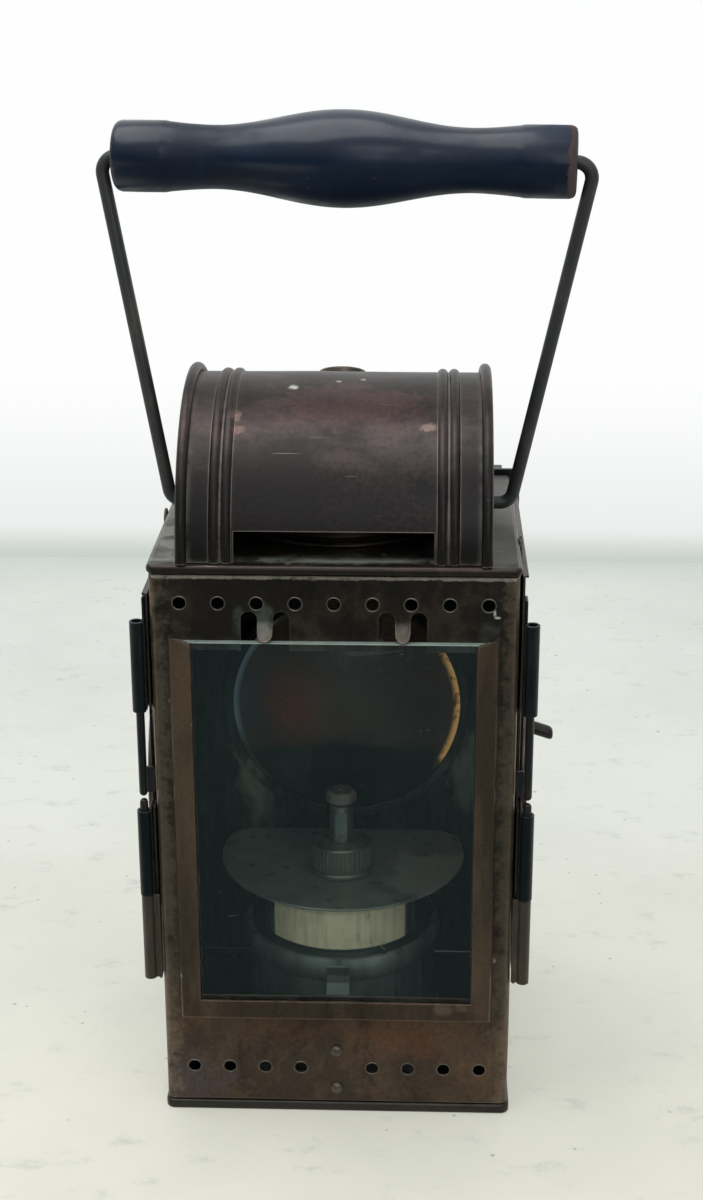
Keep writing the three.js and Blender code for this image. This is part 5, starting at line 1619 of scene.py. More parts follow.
@dataclass
class Optics(Assembly):
    """The rear lens and its ring; the blackout shutter and its rails keep their solids."""

    height: float = 113.6
    back: float = 52.7
    radius: float = 45.5
    edge: float = 3.5
    bulge: float = 13.0
    wall: float = 1.4
    lip: float = 2.4
    ring_depth: float = 3.1

    def lens(self) -> None:
        """Builds the plano-convex lens, bulging towards the flame."""
        sphere = (self.radius ** 2 + self.bulge ** 2) / (2 * self.bulge)
        opening = degrees(asin(self.radius / sphere))
        front = self.back - self.edge
        dome = arc((0.0, 0.0), sphere, 90 - opening, 90, 28)
        base = sphere * cos(radians(opening))
        profile = [(0.0, self.back), (self.radius - 0.3, self.back), (self.radius, self.back - 0.3)]
        profile += [(x, front - (y - base)) for x, y in dome[:-1]] + [(0.0, front - (sphere - base))]
        form = turned(profile, Axis.Y, (0, 0, self.height), 128)
        self.add("lens_disc", form, Finish.LENS, "lens", slot=Slot.LENS, sharp=35)

    def ring(self) -> None:
        """Builds the ring that clamps the lens."""
        inner, outer = self.radius + GAP, self.radius + GAP + self.wall
        lip = inner - self.lip
        front = self.back - self.edge - self.ring_depth
        e = 0.35
        profile = [
            (inner, self.back), (outer, self.back), (outer, front + e), (outer - e, front), (lip + e, front),
            (lip, front + e), (lip, front + self.wall), (inner, front + self.wall)]
        form = turned(profile, Axis.Y, (0, 0, self.height), 128, closed=True)
        self.add("lens_clamp_ring", form, Finish.WALL, "lens_ring", slot=Slot.TIN)

    def build(self) -> None:
        """Builds the whole optics."""
        self.lens()
        self.ring()


@dataclass
class Generator(Assembly):
    """The carbide pot in its seat, the water tank with its shade plate, and the burner."""

    pot_radius: float = 34.5
    pot_wall: float = 1.2
    pot_bottom: float = 2.6
    pot_top: float = 50.0
    collar: float = 9.0
    collar_bulge: float = 1.6
    collar_ripple: float = 0.35
    collar_steps: int = 16
    seat_radius: float = 35.4
    seat_top: float = 10.3
    seat_foot: float = 1.3
    seat_flange: float = 7.0
    tank_radius: float = 31.5
    tank_bottom: float = 30.0
    tank_top: float = 69.0
    plate_radius: float = 44.9
    plate_offset: float = 9.4
    plate_back: float = 28.5
    plate_corner: float = 5.0
    forward: float = 4.2
    boss: float = 5.0
    nut_bottom: float = 70.6
    nut_radius: float = 10.8
    nut_ring: float = 11.7
    nut_height: float = 12.0
    flutes: int = 40
    stem_radius: float = 4.15
    stem_top: float = 96.6
    tip_radius: float = 5.5
    tip_height: float = 5.0
    peg: float = 0.9
    peg_reach: float = 35.2
    peg_angle: float = 28.0
    boss_bottom: float = 69.3
    boss_top: float = 78.6
    nut_depth: float = 8.3
    nut_band: float = 2.2
    flute: float = 0.5
    flute_short: float = 3.6
    flats_bottom: float = 85.0
    flats_top: float = 94.3
    flats_share: float = 0.86
    tip_foot: float = 3.7
    tip_bore: float = 1.0

    def pot(self) -> None:
        """Builds the carbide pot with its rolled collar."""
        outer, inner = self.pot_radius, self.pot_radius - self.pot_wall
        low, top = self.pot_bottom, self.pot_top
        start = top - self.collar
        middle = self.collar / 2
        profile = [(0.0, low), (outer - 1.2, low), (outer - 0.3, low + 0.4), (outer, low + 1.2),
                   (outer, start)]
        for step in range(1, self.collar_steps):
            angle = pi * step / self.collar_steps
            ripple = self.collar_ripple * cos(2 * angle)
            profile.append((outer + self.collar_bulge * sin(angle) ** 0.8 - ripple * sin(angle),
                            start + middle - middle * cos(angle)))
        profile += [(outer, top - 0.1), (outer - 0.3, top), (inner + 0.3, top), (inner, top - 0.3),
                    (inner, low + 1.2), (0.0, low + 1.2)]
        self.add("carbide_pot_body", turned(profile, sides=96), Finish.TIN, "carbide_pot", slot=Slot.TIN)

    def socket(self) -> None:
        """Builds the seat that the pot stands in."""
        ring, foot, top = self.seat_radius, self.seat_foot, self.seat_top
        wide, floor, edge = ring + self.seat_flange, foot + 1, 0.3
        profile = [(0.0, foot), (wide, foot), (wide, floor - 0.2), (wide - 0.2, floor), (ring + 1.6, floor),
                   (ring + 1, floor + 0.6), (ring + 1, top - edge), (ring + 1 - edge, top),
                   (ring + edge, top), (ring, top - edge), (ring, floor), (0.0, floor)]
        self.add("generator_seat_ring", turned(profile, sides=96), Finish.TIN, "generator_seat",
                 slot=Slot.TIN)

    def tank(self) -> None:
        """Builds the water tank with its shoulder bead and locking peg."""
        plug = self.pot_radius - self.pot_wall - GAP
        low, shoulder, top, r = self.tank_bottom, self.pot_top + GAP, self.tank_top, self.tank_radius
        profile = [(0.0, low), (plug - 1.2, low), (plug, low + 1.2), (plug, shoulder - 0.6),
                   (r + 0.6, shoulder), (r, shoulder + 0.5), (r, top - 3.0), (r + 0.35, top - 2.6),
                   (r + 0.45, top - 1.9), (r + 0.35, top - 1.2), (r, top - 0.8), (r - 0.8, top), (0.0, top)]
        form = turned(profile, sides=128)
        angle, thick, reach = radians(self.peg_angle - 90), self.peg, self.peg_reach
        peg = turned([(0.0, r - 2.2), (thick, r - 2.2), (thick, reach - 0.3), (thick - 0.3, reach),
                      (0.0, reach)], Axis.X, sides=20)
        peg = peg.placed(lambda x, y, z: (x * cos(angle) - y * sin(angle),
                                          x * sin(angle) + y * cos(angle), z + shoulder + thick))
        self.add("water_tank_body", form.add(peg), Finish.BAND, "water_tank", body=Body.GENERATOR,
                 slot=Slot.TIN)

    def plate(self) -> None:
        """Builds the D-shaped shade plate and the boss that rises through it."""
        corner = self.plate_back - self.plate_corner
        reach = sqrt(self.plate_radius ** 2 - (self.plate_back - self.plate_offset) ** 2)
        start = degrees(asin((corner - self.plate_offset) / self.plate_radius))
        outline = [(reach - self.plate_corner, self.plate_back), (self.plate_corner - reach, self.plate_back)]
        outline += arc((0, self.plate_offset), self.plate_radius, 180 - start, 360 + start, 96)
        sheet = cut_sheet([outline, circle((0, -self.forward), self.boss + GAP, 48)], 1.0, 0.2,
                          every(Axis.X, -40, 41) + every(Axis.Y, -32, 27))
        form = dented(sheet, 0.06, 20, 3.0).shifted(dz=self.tank_top + GAP)
        self.add("shade_plate_sheet", form, Finish.PLATE, "shade_plate", body=Body.GENERATOR, slot=Slot.TIN)
        r, low, top = self.boss, self.boss_bottom, self.boss_top
        form = self.about_burner([(0.0, low), (r, low), (r, top - 0.4), (r - 0.4, top), (0.0, top)], 48)
        self.add("burner_boss_thread", form, Finish.BRASS, "burner_boss", body=Body.GENERATOR,
                 slot=Slot.BRASS)

    def about_burner(self, profile: Sequence[Point2], sides: int, closed: bool = False) -> Form:
        """Turns a profile about the burner's axis."""
        return turned(profile, centre=(0, -self.forward, 0), sides=sides, closed=closed)

    def nut(self) -> None:
        """Builds the knurled nut: its body and, by a pattern, its flutes."""
        low, ring = self.nut_bottom, self.nut_ring
        high, r = low + self.nut_height, self.nut_radius - 0.45
        bore, well = self.boss + 0.25, self.stem_radius + 0.3
        band, floor = low + self.nut_band, low + self.nut_depth
        profile = [(bore, low), (ring - 0.6, low), (ring - 0.15, low + 0.45), (ring, low + 1.1),
                   (ring - 0.15, band - 0.45), (ring - 0.6, band), (r, band), (r, high - 1.2),
                   (r - 0.35, high - 0.4), (r - 1.2, high), (well, high), (well, floor), (bore, floor)]
        length = self.nut_height - self.flute_short
        tree = Pattern("nut_flutes", {
            "Radius": r * MM, "Flute": self.flute * MM, "Height": length * MM, "Count": self.flutes})
        path = tree.out("GeometryNodeMeshCircle",
                        {"Vertices": tree.size("Count"), "Radius": tree.size("Radius")})
        bar = tree.out("GeometryNodeMeshCylinder", {
            "Vertices": 10, "Radius": tree.size("Flute"), "Depth": tree.size("Height")})
        bars = tree.out("GeometryNodeInstanceOnPoints", {"Points": path, "Instance": bar})
        place = (0.0, -self.forward * MM, (band + 0.2 + length / 2) * MM)
        moved = tree.out("GeometryNodeTransform", {"Geometry": bars, "Translation": place})
        made = tree.run("nut_flute_bars", moved, self.finish(Finish.BRASS), sharp=60)
        seat(made, Body.BURNER, Slot.BRASS)
        self.add("burner_nut_body", self.about_burner(profile, 96, True), Finish.BRASS, "burner_nut",
                 body=Body.BURNER, slot=Slot.BRASS)

    def burner(self) -> None:
        """Builds the stem with its spanner flats, and the burner's tip."""
        bottom, top, r = self.nut_bottom + self.nut_depth + GAP, self.stem_top, self.stem_radius
        low, high, e = self.flats_bottom, self.flats_top, 0.3
        flat = r * self.flats_share
        rings: list[list[Point3]] = []
        for z, share in ((bottom, 1.0), (low, 1.0), (low + e, 0.0), (high - e, 0.0), (high, 1.0),
                         (top - e, 1.0), (top, 0.93)):
            ring = []
            for x, y in circle((0, 0), r, 48):
                x, y = (x * share, y * share) if share else (x, max(-flat, min(flat, y)))
                ring.append((x, y - self.forward, z))
            rings.append(ring)
        self.add("burner_stem_rod", lofted(rings), Finish.BRASS, "burner_stem", body=Body.BURNER,
                 slot=Slot.BRASS)
        low, t, bore = top + GAP, self.tip_radius, self.tip_bore
        high = low + self.tip_height
        profile = [(0.0, low), (self.tip_foot, low), (t - 0.3, low + 1.1), (t, low + 1.5), (t, high - 1.5),
                   (t - 0.4, high - 0.8), (t - 1.3, high), (bore + 0.3, high), (bore, high - 0.3),
                   (bore, high - 3.0), (0.0, high - 3.0)]
        self.add("burner_tip_head", self.about_burner(profile, 64), Finish.TIP, "burner_tip",
                 body=Body.BURNER, slot=Slot.CERAMIC)

    def build(self) -> None:
        """Builds the whole generator."""
        self.pot()
        self.socket()
        self.tank()
        self.plate()
        self.nut()
        self.burner()


@dataclass
class SideDoor(Assembly):
    """One side door with its hinge, coloured glass and, on the right, its latch."""

    side: Side
    body: Body
    glass_finish: Finish
    glass_slot: Slot
    tab_depth: float
    high: float
    face: float = 60.9
    half_depth: float = 54.0
    sheet: float = 0.8
    rim: float = 1.9
    front: float = -50.2
    back: float = 46.0
    low: float = 50.0
    notch: float = 8.0
    corner: float = 4.0
    opening: float = 35.0
    glass: float = 38.0
    glass_thickness: float = 1.6
    glass_height: float = 113.6
    bezel: float = 0.9
    bezel_lip: float = 3.2
    tab_width: float = 7.0
    tab_top: float = 204.0
    hinge_x: float = 64.3
    hinge_y: float = -52.5
    bore: float = 1.65
    wall: float = 0.8
    seam: tuple[int, int, int] = (205, 530, 44)
    leaf_width: float = 10.2
    leaf_low: float = 78.0
    leaf_high: float = 191.0
    leaf_corner: float = 6.0
    knuckles: tuple[float, ...] = (84.3, 152.0)
    knuckle_length: float = 32.0
    barrel_low: float = 52.0
    lug_low: float = 121.2
    lug_height: float = 10.8
    pin: float = 1.4
    pin_short: float = 2.8
    rivets: Point3 = (90.0, 158.0, 179.0)
    rivet: float = 1.8
    rivet_share: float = 0.6
    inboard: float = 60.3
    lug_sheet: float = 0.9
    latch_depth: float = 42.2
    latch_height: float = 106.0
    knob: float = 2.6
    knob_length: float = 12.0
    stem: float = 2.6
    crank: float = 0.9
    slope: float = 0.33
    tongue: float = 2.0

    @property
    def name(self) -> str:
        """The side's name."""
        return self.side.name.lower()

    def notched(self, front: float) -> list[Point2]:
        """Outlines the notch between the two knuckles, from above, down an outline's front edge."""
        low, high = self.knuckles[0] + self.knuckle_length - GAP, self.knuckles[1]
        return [(front, high), (front + self.notch, high), (front + self.notch, low), (front, low)]

    def tray(self) -> None:
        """Builds the door's tray with its folded rim and the tab that rises beside the roof."""
        tab = self.tab_depth - self.half_depth
        w = self.tab_width / 2
        rear = self.back - self.corner
        edge = [(rear, self.low), *arc((rear, self.low + self.corner), self.corner, -90, 0, 6)]
        edge += arc((rear, self.high - self.corner), self.corner, 0, 90, 6)
        outline = [(self.front, self.low), *edge]
        outline += [(tab + w, self.high)] + arc((tab, self.tab_top - w), w, 0, 180, 12)
        outline += [(tab - w, self.high), (self.front, self.high)] + self.notched(self.front)
        hole = circle((0, self.glass_height), self.opening, 96)
        steps = every(Axis.X, -48, 45) + every(Axis.Y, 40, 197)
        sheet = cut_sheet([outline, hole], self.sheet, 0.14, steps)
        start = self.front + self.sheet
        path = [(start, self.low + 0.01), edge[0], *edge[2:], (start, self.high)]
        t, e = self.sheet, 0.15
        section = [(0.0, 0.1), (0.0, self.rim - e), (-e, self.rim), (e - t, self.rim), (-t, self.rim - e),
                   (-t, 0.1)]
        rim = edged(path, section, closed=False)
        form = dented(Form().add(sheet, rim), 0.12, 30, self.side.value * 2)
        form = upright(form, self.side.value, self.face)
        self.add(f"{self.name}_door_sheet", form, Finish.DOOR, f"{self.name}_door_tray", body=self.body)

    def glazing(self) -> None:
        """Builds the signal glass and the bezel that holds it."""
        near = self.face + self.sheet + GAP
        side, t = self.side.value, self.glass_thickness
        r = self.glass
        profile = [(0.0, 0.0), (r - 0.25, 0.0), (r, 0.25), (r, t - 0.25), (r - 0.25, t), (0.0, t)]

        def set_in(x: float, y: float, z: float) -> Point3:
            """Stands a turned form before the door's hole."""
            return (side * (near + x), y, z + self.glass_height)
        disc = turned(profile, Axis.X, sides=128).placed(set_in)
        self.add(f"{self.name}_signal_disc", disc, self.glass_finish, f"{self.name}_signal_glass",
                 body=self.body, slot=self.glass_slot)
        inner, outer, e = r + GAP, r + GAP + self.bezel, 0.3
        lip, under = inner - self.bezel_lip, t + GAP
        top = under + self.bezel
        profile = [(inner, 0.0), (outer, 0.0), (outer, top - e), (outer - e, top), (lip + e, top),
                   (lip, top - e), (lip, under), (inner, under)]
        ring = turned(profile, Axis.X, sides=128, closed=True).placed(set_in)
        self.add(f"{self.name}_bezel_ring", ring, Finish.SMALL, f"{self.name}_glass_bezel", body=self.body)

    def rolled_eye(self, low: float, high: float) -> Form:
        """Builds a knuckle rolled from the leaf's sheet, with its open seam.

        Args:
            low: Its lower end.
            high: Its upper end.

        Returns:
            The knuckle, in the hinge's own frame.
        """
        outer, inner = self.bore + self.wall, self.bore
        first, last, steps = self.seam
        ring = arc((0, 0), outer, first, last, steps) + arc((0, 0), inner, last, first, steps)
        levels = [(low, 0.12), (low + 0.15, 0.0), (high - 0.15, 0.0), (high, 0.12)]
        middle = (outer + inner) / 2
        rings = []
        for z, ease in levels:
            eased = []
            for x, y in ring:
                r = hypot(x, y)
                share = (r + copysign(ease, middle - r)) / r
                eased.append((x * share, y * share, z))
            rings.append(eased)
        return lofted(rings)

    def leaf(self) -> None:
        """Builds the black hinge leaf with its two rolled knuckles."""
        side = self.side.value
        near = self.face + self.sheet + GAP
        front, back = self.front - GAP, self.front + self.leaf_width
        c = self.leaf_corner
        outline = [(front, self.leaf_low), (back - c, self.leaf_low)]
        outline += arc((back - c, self.leaf_low + c), c, -90, 0, 8)
        outline += arc((back - c, self.leaf_high - c), c, 0, 90, 8)
        outline += [(front, self.leaf_high)] + self.notched(front)
        form = upright(cut_sheet([outline], self.wall, 0.15, every(Axis.Y, 80, 190)), side, near)
        length = self.knuckle_length - GAP
        for low in self.knuckles:
            eye = self.rolled_eye(low, low + length)
            form.add(eye.placed(lambda x, y, z: (side * (self.hinge_x + x), self.hinge_y + y, z)))
            web = strip(self.hinge_y + 0.6, front + 0.5, low, low + length, self.wall)
            form.add(upright(web, side, near))
        form = dented(form, 0.08, 24, side)
        self.add(f"{self.name}_leaf_and_knuckles", form, Finish.STEEL, f"{self.name}_hinge_leaf",
                 body=self.body, slot=Slot.STEEL)

    def leaf_rivets(self) -> None:
        """Repeats the flat-domed rivet down the leaf."""
        low, middle, high = self.rivets
        plane = self.face + self.sheet + GAP + self.wall + 0.1
        line = self.front + self.leaf_width * self.rivet_share
        tree = Pattern(f"{self.name}_leaf_rivets", {
            "Pitch": (high - middle) * MM, "Radius": self.rivet * MM, "Flatness": 0.55, "Count": 2})
        head = tree.rivet(24, 12, tree.vector(tree.size("Flatness"), 1.0, 1.0))
        step = tree.vector(0.0, 0.0, tree.size("Pitch"))
        made = tree.run(f"{self.name}_leaf_rivet_heads", tree.joined(
            tree.row(count, tree.vector(self.side.value * plane * MM, line * MM, height * MM), step, head)
            for count, height in ((1, low), (tree.size("Count"), middle))), self.finish(Finish.STEEL))
        seat(made, self.body, Slot.COPPER,
             *(f"{self.name}_leaf_rivet_{i + 1}" for i in range(len(self.rivets))))

    def rod(self, low: float, high: float) -> Form:
        """Builds a pin with rounded ends.

        Args:
            low: Its lower end.
            high: Its upper end.

        Returns:
            The pin, in its place.
        """
        r = self.pin
        side = self.side.value
        profile = [(0.0, low), *((r * sin(a), low + r * (1 - cos(a))) for a in (0.5, 1.0, pi / 2)),
                   *((r * cos(a), high - r * (1 - sin(a))) for a in (0.0, 0.6, 1.1)), (0.0, high)]
        return turned(profile, centre=(side * self.hinge_x, self.hinge_y, 0), sides=32)

    def pins(self) -> None:
        """Builds the casing's half of the hinge: the lower barrel, the pins and the lug."""
        side = self.side.value
        inner, outer = self.bore, self.bore + 0.5
        low, high = self.barrel_low, self.barrel_low + self.knuckle_length
        e = 0.12
        profile = [(inner + e, low), (outer - e, low), (outer, low + e), (outer, high - e), (outer - e, high),
                   (inner + e, high), (inner, high - e), (inner, low + e)]
        form = turned(profile, centre=(side * self.hinge_x, self.hinge_y, 0), sides=40, closed=True)

        def standing(x: float, y: float, z: float) -> Point3:
            """Stands a flat form across the hinge, beside the casing."""
            return (side * x, self.hinge_y + z - self.lug_sheet / 2, y)
        web = strip(self.inboard, self.hinge_x - inner - 0.2, low, high, self.lug_sheet)
        self.add(f"{self.name}_barrel", form.add(web.placed(standing)), Finish.BARREL,
                 f"{self.name}_body_knuckle")
        self.add(f"{self.name}_lower_rod", self.rod(low, self.lug_low - 1), Finish.PIN,
                 f"{self.name}_lower_pin", slot=Slot.WIRE)
        upper = self.rod(self.lug_low, self.knuckles[1] + self.knuckle_length - self.pin_short)
        outline = rounded_box((self.inboard, self.lug_low + self.pin),
                              (self.hinge_x, self.lug_low + self.lug_height), 0.8, 4)
        upper.add(cut_sheet([outline], self.lug_sheet, 0.15).placed(standing))
        self.add(f"{self.name}_upper_rod", upper, Finish.PIN, f"{self.name}_upper_pin", slot=Slot.WIRE)

    def latch(self) -> None:
        """Builds the latch: spindle, tongue and the worn, slightly bent knob."""
        face, w = self.face, self.tongue
        near = face + self.rim + GAP
        far = near + 1.0
        stem = far + self.stem
        end, r = stem + self.knob_length, self.knob
        profile = [(0.0, face), (1.5, face), (1.5, stem), (1.75, stem + 0.3), (r, stem + 0.9), (r, end - 1.8),
                   (r - 0.15, end - 0.9), (r - 0.6, end - 0.3), (r - 1.3, end), (0.0, end)]

        def bent(x: float, y: float, z: float) -> Point3:
            """Cranks the stem up and lets the knob slope down, outside its tongue."""
            beyond = max(0.0, x - far)
            lift = min(beyond, self.stem) * self.crank - max(0.0, beyond - self.stem) * self.slope
            return (x, y + self.latch_depth, z + self.latch_height + lift)
        form = turned(profile, Axis.X, sides=40).placed(bent)
        collar = turned([(0.0, face + 1.1), (w, face + 1.1), (w, far), (0.0, far)], Axis.X, sides=32)
        form.add(collar.shifted(dy=self.latch_depth, dz=self.latch_height))
        outline = [(-w, -2.2), (w, -2.2)] + arc((0, 6.2), w, 0, 180, 12)
        tongue = cut_sheet([outline], 1.0, 0.15).shifted(dx=self.latch_depth, dy=self.latch_height)
        form.add(upright(tongue, 1, near))
        self.add("latch_spindle", form, Finish.PIN, "latch_knob", body=Body.LATCH)

    def build(self) -> None:
        """Builds the whole door and its hinge."""
        self.tray()
        self.glazing()
        self.leaf()
        self.leaf_rivets()
        self.pins()
        if self.side is Side.RIGHT:
            self.latch()


@dataclass
class Bail(Assembly):
    """The bail of bent wire with its turned grip."""

    pivot: float = 209.0
    wire: float = 2.25
    height: float = 116.0
    foot: float = 58.5
    top: float = 81.2
    end: float = 44.0
    foot_bend: float = 4.5
    top_bend: float = 5.2
    head: float = 3.75
    head_height: float = 1.6
    grip_half: float = 75.5
    grip_end: float = 11.6
    grip_neck: float = 10.3
    grip_middle: float = 15.7
    grip_shoulder: float = 58.0
    neck_offset: float = 42.5
    bend_steps: int = 12
    swell_steps: int = 32
    lean: float = 1.6
    twist: float = 8.0

    def sprung(self, x: float, y: float, z: float) -> Point3:
        """Leans and twists a place of the wire as the old bail is bent."""
        share = (z - self.pivot) / self.height
        return (x + self.lean * share, y - self.twist * share * x / self.top, z)

    def path(self) -> list[Point3]:
        """Lists the wire's centre line, with its four bends."""
        corners = [((-self.end, 0.0), 0.0), ((-self.foot, 0.0), self.foot_bend),
                   ((-self.top, self.height), self.top_bend),
                   ((self.top, self.height), self.top_bend), ((self.foot, 0.0), self.foot_bend),
                   ((self.end, 0.0), 0.0)]
        line: list[Point3] = []
        for i, (corner, radius) in enumerate(corners):
            if not radius:
                line.append((corner[0], 0.0, corner[1] + self.pivot))
                continue
            here = Vector(corner)
            before = (Vector(corners[i - 1][0]) - here).normalized()
            after = (Vector(corners[i + 1][0]) - here).normalized()
            half = before.angle(after) / 2
            run = radius / tan(half)
            centre = here + (before + after).normalized() * (radius / sin(half))
            first, last = here + before * run - centre, here + after * run - centre
            total = first.angle(last)
            for step in range(self.bend_steps + 1):
                share = step / self.bend_steps
                spoke = first * (sin((1 - share) * total) / sin(total))
                spoke += last * (sin(share * total) / sin(total))
                point = centre + spoke
                line.append(self.sprung(point.x, 0.0, point.y + self.pivot))
        return line

    def bail(self) -> None:
        """Runs a round wire along the path by a pattern, with its riveted ends."""
        tree = Pattern("bail_wire_path", {"Radius": self.wire * MM, "Sides": 24})
        path = tree.out("GeometryNodeMeshToCurve", {"Mesh": tree.size("Geometry")})
        section = tree.ring(tree.size("Radius"), tree.size("Sides"))
        wire = tree.out("GeometryNodeCurveToMesh",
                        {"Curve": path, "Profile Curve": section, "Fill Caps": True})
        points = self.path()
        line = bpy.data.meshes.new("bail_line")
        line.from_pydata([tuple(v * MM for v in p) for p in points],
                         [(i, i + 1) for i in range(len(points) - 1)], [])
        made = tree.run("bail_wire_rod", wire, self.finish(Finish.WIRE), line)
        seat(made, Body.BAIL, Slot.WIRE, "bail_wire")
        heads = Form()
        r, t, e = self.head, self.head_height, 0.4
        head = turned([(0.0, 0.0), (r - e, 0.0), (r, e), (r, t - e), (r - e, t), (0.0, t)], Axis.X, sides=32)
        for side in (-1, 1):
            heads.add(head.placed(lambda x, y, z: (side * (self.end + x), y, z + self.pivot)))
        self.add("bail_riveted_ends", heads, Finish.WIRE, body=Body.BAIL, slot=Slot.WIRE)

    def grip(self) -> None:
        """Turns the grip: straight ends, small shoulders, necks and a swelling middle."""
        half, bore = self.grip_half, self.wire + 0.4
        e, n, m, s = self.grip_end, self.grip_neck, self.grip_middle, self.grip_shoulder
        side = [(bore, half - 0.6), (bore + 0.5, half - 0.05), (e - 2.2, half), (e - 1.1, half - 0.25),
                (e - 0.4, half - 0.9), (e, half - 2.2), (e + 0.05, half - 8), (e, s + 1.2),
                (e - 0.1, s + 0.3), (e - 0.3, s - 0.6)]
        side += [(e - 0.3 - (e - 0.3 - n) * sin(pi / 2 * i / 8),
                  s - 0.6 - (s - self.neck_offset) * i / 8) for i in range(1, 8)]
        for step in range(self.swell_steps + 1):
            share = step / self.swell_steps
            swell = (1 - cos(pi * share)) / 2
            side.append((n + (m - n) * swell, self.neck_offset * (1 - share)))
        profile = side + [(r, -x) for r, x in reversed(side[:-1])]
        turn = Matrix.Rotation(-atan2(self.twist, self.top), 3, "Z")
        form = turned(profile, Axis.X, sides=96, closed=True)
        form = form.placed(lambda x, y, z: tuple(turn @ Vector((x, y, z))))
        form = dented(form.shifted(dx=self.lean, dz=self.pivot + self.height), 0.12, 30, 8)
        self.add("grip_turning", form, Finish.LACQUER, "grip", body=Body.BAIL, slot=Slot.LACQUER, sharp=40)

    def build(self) -> None:
        """Builds the bail and its grip."""
        self.bail()
        self.grip()


# Solids that keep their shape

KEPT: dict[str, Finish] = {
    "generator_clip": Finish.TIN,
    "left_rail": Finish.STEEL,
    "right_rail": Finish.STEEL,
    "latch_keeper": Finish.SMALL,
    "blackout_shutter": Finish.STEEL,
}


def dress_kept(palette: Palette) -> None:
    """Gives the solids that stay their materials.

    Args:
        palette: The finishes.
    """
    for name, finish in KEPT.items():
        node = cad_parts[name]
        if not node.material_slots:
            node.data.materials.append(palette(finish))
        for slot in node.material_slots:
            slot.material = palette(finish)
        LOG.info("%s keeps its solid", name)


# Stage


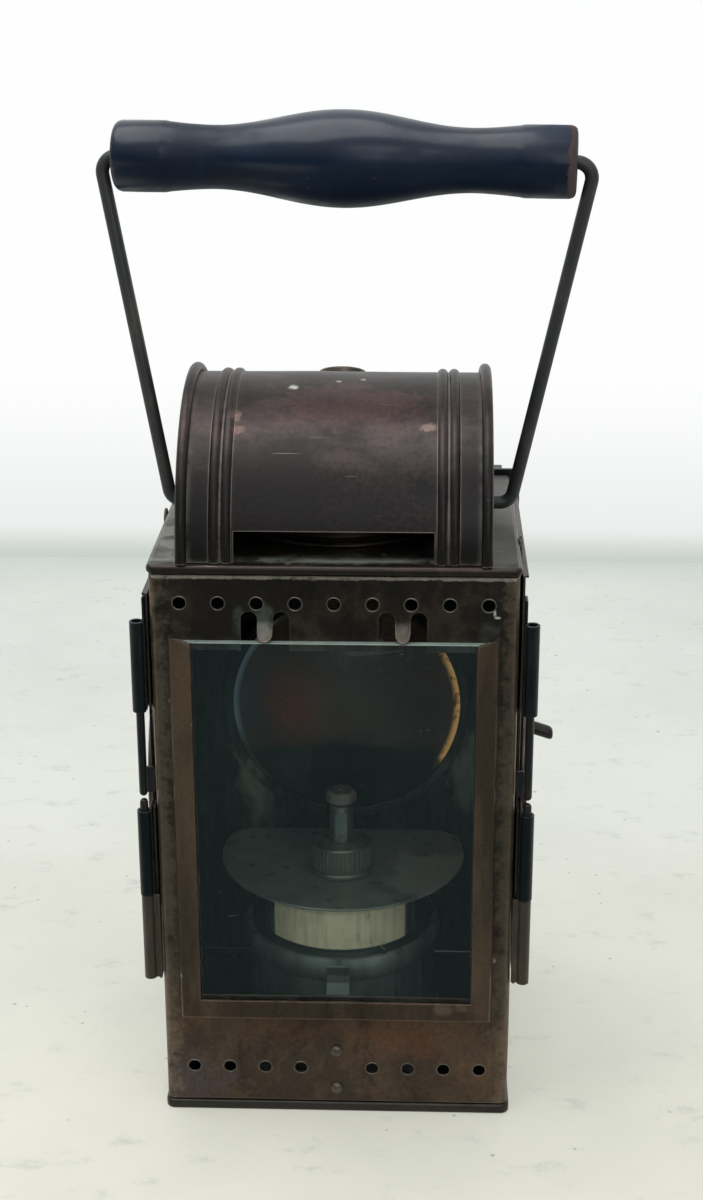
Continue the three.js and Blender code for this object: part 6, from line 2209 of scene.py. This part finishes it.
@dataclass
class Studio:
    """The white table and wall, the soft light and the camera."""

    camera_place: Point3 = (28.4, -651.1, 406.2)
    yaw: float = -2.17
    pitch: float = 19.71
    roll: float = -0.18
    focal_pixels: float = 1972.7
    frame_height: float = 1200.0
    sensor: float = 36.0
    table_back: float = 560.0
    table_front: float = -1600.0
    half_width: float = 2600.0
    wall_top: float = 2200.0
    sky: Colour = (0.93, 0.97, 1.0)
    seen_sky: float = 0.93
    dim: float = 0.08
    speck: Colour = (0.40, 0.41, 0.38)
    joint: Colour = (0.60, 0.64, 0.60)
    joint_high: float = 0.13
    joint_low: float = 0.024
    joint_depth: Point2 = (0.50, 0.56)
    dark: Colour = (0.15, 0.215, 0.22)
    dark_from: Point2 = (-0.09, -0.135)
    dark_aside: Point2 = (0.60, 0.30)

    def camera(self) -> None:
        """Sets the camera at the photograph's place."""
        data = bpy.data.cameras.new("view")
        data.sensor_fit = "VERTICAL"
        data.sensor_height = self.sensor
        data.lens = self.focal_pixels * self.sensor / self.frame_height
        data.clip_start = 0.01
        made = bpy.data.objects.new("view", data)
        bpy.context.scene.collection.objects.link(made)
        yaw, pitch, roll = (radians(v) for v in (self.yaw, self.pitch, self.roll))
        ahead = Vector((sin(yaw) * cos(pitch), cos(yaw) * cos(pitch), -sin(pitch)))
        right = Vector((cos(yaw), -sin(yaw), 0.0))
        up = right.cross(ahead)
        right, up = right * cos(roll) + up * sin(roll), up * cos(roll) - right * sin(roll)
        turn = Matrix((right, up, -ahead)).transposed().to_4x4()
        made.matrix_world = Matrix.Translation(Vector(self.camera_place) * MM) @ turn
        bpy.context.scene.camera = made

    def stage_material(self, name: str, tone: Colour, far: Colour, white: float,
                       speckle: float) -> Material:
        """Builds a pale matt material that the camera and mirrors see at a set brightness.

        Mirrors see it dark in a zone in front of the lantern, and a camera behind or below sees through it.

        Args:
            name: The material's name.
            tone: Its colour near the camera.
            far: Its colour at the back.
            white: How much of the seen brightness is its own.
            speckle: The strength of its grey specks.

        Returns:
            The material.
        """
        s = Shader(name)
        x, y, z = s.axes()
        broad = s.noise(7, 5, 0.62).between(0.38, 0.68) * 0.3
        mottle = s.noise(75, 5, 0.7, (0.6, 1, 1)).between(0.56, 0.72) * 0.6
        specks = s.spots(60, 0.06, 0.3) * 1.3 + s.spots(170, 0.13, 0.07)
        # Painted light falloff: the table lighter and warmer near the camera, darker towards the back.
        tone = s.mix(1 - y.between(-0.25, 0.42), far, tone)
        colour = s.mix((broad + mottle + specks) * speckle, tone, self.speck)
        # Painted shade: darker where the table meets the wall.
        foot = z.between(self.joint_high, 0.0) * 0.4 + z.between(self.joint_low, 0.0) * 0.6
        colour = s.mix(foot * y.between(*self.joint_depth), colour, self.joint)
        s.set(Base_Color=colour, Roughness=0.75)
        rays = s.node("ShaderNodeLightPath")
        glossy = Value(s, rays.outputs["Is Glossy Ray"])
        seen = Value(s, rays.outputs["Is Camera Ray"]).math("MAXIMUM", glossy)
        seen = seen.math("MAXIMUM", Value(s, rays.outputs["Is Transmission Ray"]))
        lit = s.layered(seen * white, s.surface.outputs[0], s.out("ShaderNodeEmission", {0: colour, 1: 1.0}))
        front = y.between(*self.dark_from) * x.math("ABSOLUTE").between(*self.dark_aside) * glossy
        shade = s.out("ShaderNodeEmission", {0: s.colour(self.dark), 1: 1.0})
        back = Value(s, s.node("ShaderNodeNewGeometry").outputs["Backfacing"])
        behind = back * rays.outputs["Is Camera Ray"]
        s.show(s.layered(behind, s.layered(front, lit, shade), s.out("ShaderNodeBsdfTransparent")))
        return s.material

    def surfaces(self) -> None:
        """Builds the table and the wall behind it."""
        w, b, f, h = self.half_width, self.table_back, self.table_front, self.wall_top
        table = Form([(-w, f, 0), (w, f, 0), (w, b, 0), (-w, b, 0)], [(0, 1, 2, 3)])
        wall = Form([(-w, b, 0), (w, b, 0), (w, b, h), (-w, b, h)], [(0, 1, 2, 3)])
        table_white = self.stage_material("table_white", (0.755, 0.74, 0.635), (0.69, 0.71, 0.665), 0.5, 0.55)
        wall_white = self.stage_material("wall_white", (0.99, 1.0, 0.995), (0.99, 1.0, 0.995), 0.95, 0.0)
        top = piece("table_top", table, table_white)
        back = piece("wall_face", wall, wall_white)

    def lights(self) -> None:
        """Adds the soft ceiling light and a weak front light, and sets how the picture shows tones."""
        for name, place, aim, size, power in (
            ("ceiling", (-300, -100, 1500), (0, 0, 100), 1.3, 14.0),
            ("front", (350, -1500, 900), (0, 0, 120), 1.0, 5.0),
        ):
            data = bpy.data.lights.new(name, "AREA")
            data.shape = "SQUARE"
            data.size = size
            data.energy = power
            made = bpy.data.objects.new(name, data)
            made.location = Vector(place) * MM
            aim_at = (Vector(aim) * MM - made.location).to_track_quat("-Z", "Y")
            made.rotation_euler = aim_at.to_euler()
            bpy.context.scene.collection.objects.link(made)
        bpy.context.scene.view_settings.view_transform = "Standard"

    def surroundings(self) -> None:
        """Lights the room softly from above, dimmer in front, and lets the camera see it white."""
        world = bpy.data.worlds.new("surroundings")
        world.use_nodes = True
        graph = Graph(world.node_tree)
        background = world.node_tree.nodes["Background"]
        _, y, z = graph.split(graph.node("ShaderNodeTexCoord").outputs["Generated"])
        level = z.between(-0.1, 0.75) * 0.75 + y.between(-0.5, 0.4) * 0.25 + self.dim
        seen = Value(graph, graph.node("ShaderNodeLightPath").outputs["Is Camera Ray"])
        level = level * (1 - seen) + seen * self.seen_sky
        world.node_tree.links.new(level.socket, background.inputs[1])
        background.inputs[0].default_value = (*self.sky, 1.0)
        bpy.context.scene.world = world

    def build(self) -> None:
        """Builds the whole stage."""
        self.camera()
        self.surfaces()
        self.lights()
        self.surroundings()


def main() -> None:
    """Builds the stage and every sub-assembly in order."""
    logging.basicConfig(level=logging.INFO, format="%(name)s: %(message)s")
    noise.seed_set(SEED)
    palette = Palette()
    Studio().build()
    assemblies = [
        Casing(palette), Window(palette), Hood(palette), Optics(palette), Generator(palette),
        SideDoor(palette, Side.LEFT, Body.LEFT_DOOR, Finish.GREEN, Slot.GREEN, 60.0, 192.3),
        SideDoor(palette, Side.RIGHT, Body.RIGHT_DOOR, Finish.RED, Slot.RED, 32.0, 199.5),
        Bail(palette),
    ]
    for assembly in assemblies:
        assembly.build()
        LOG.info("%s is built", type(assembly).__name__)
    dress_kept(palette)


if __name__ == "__main__":
    main()
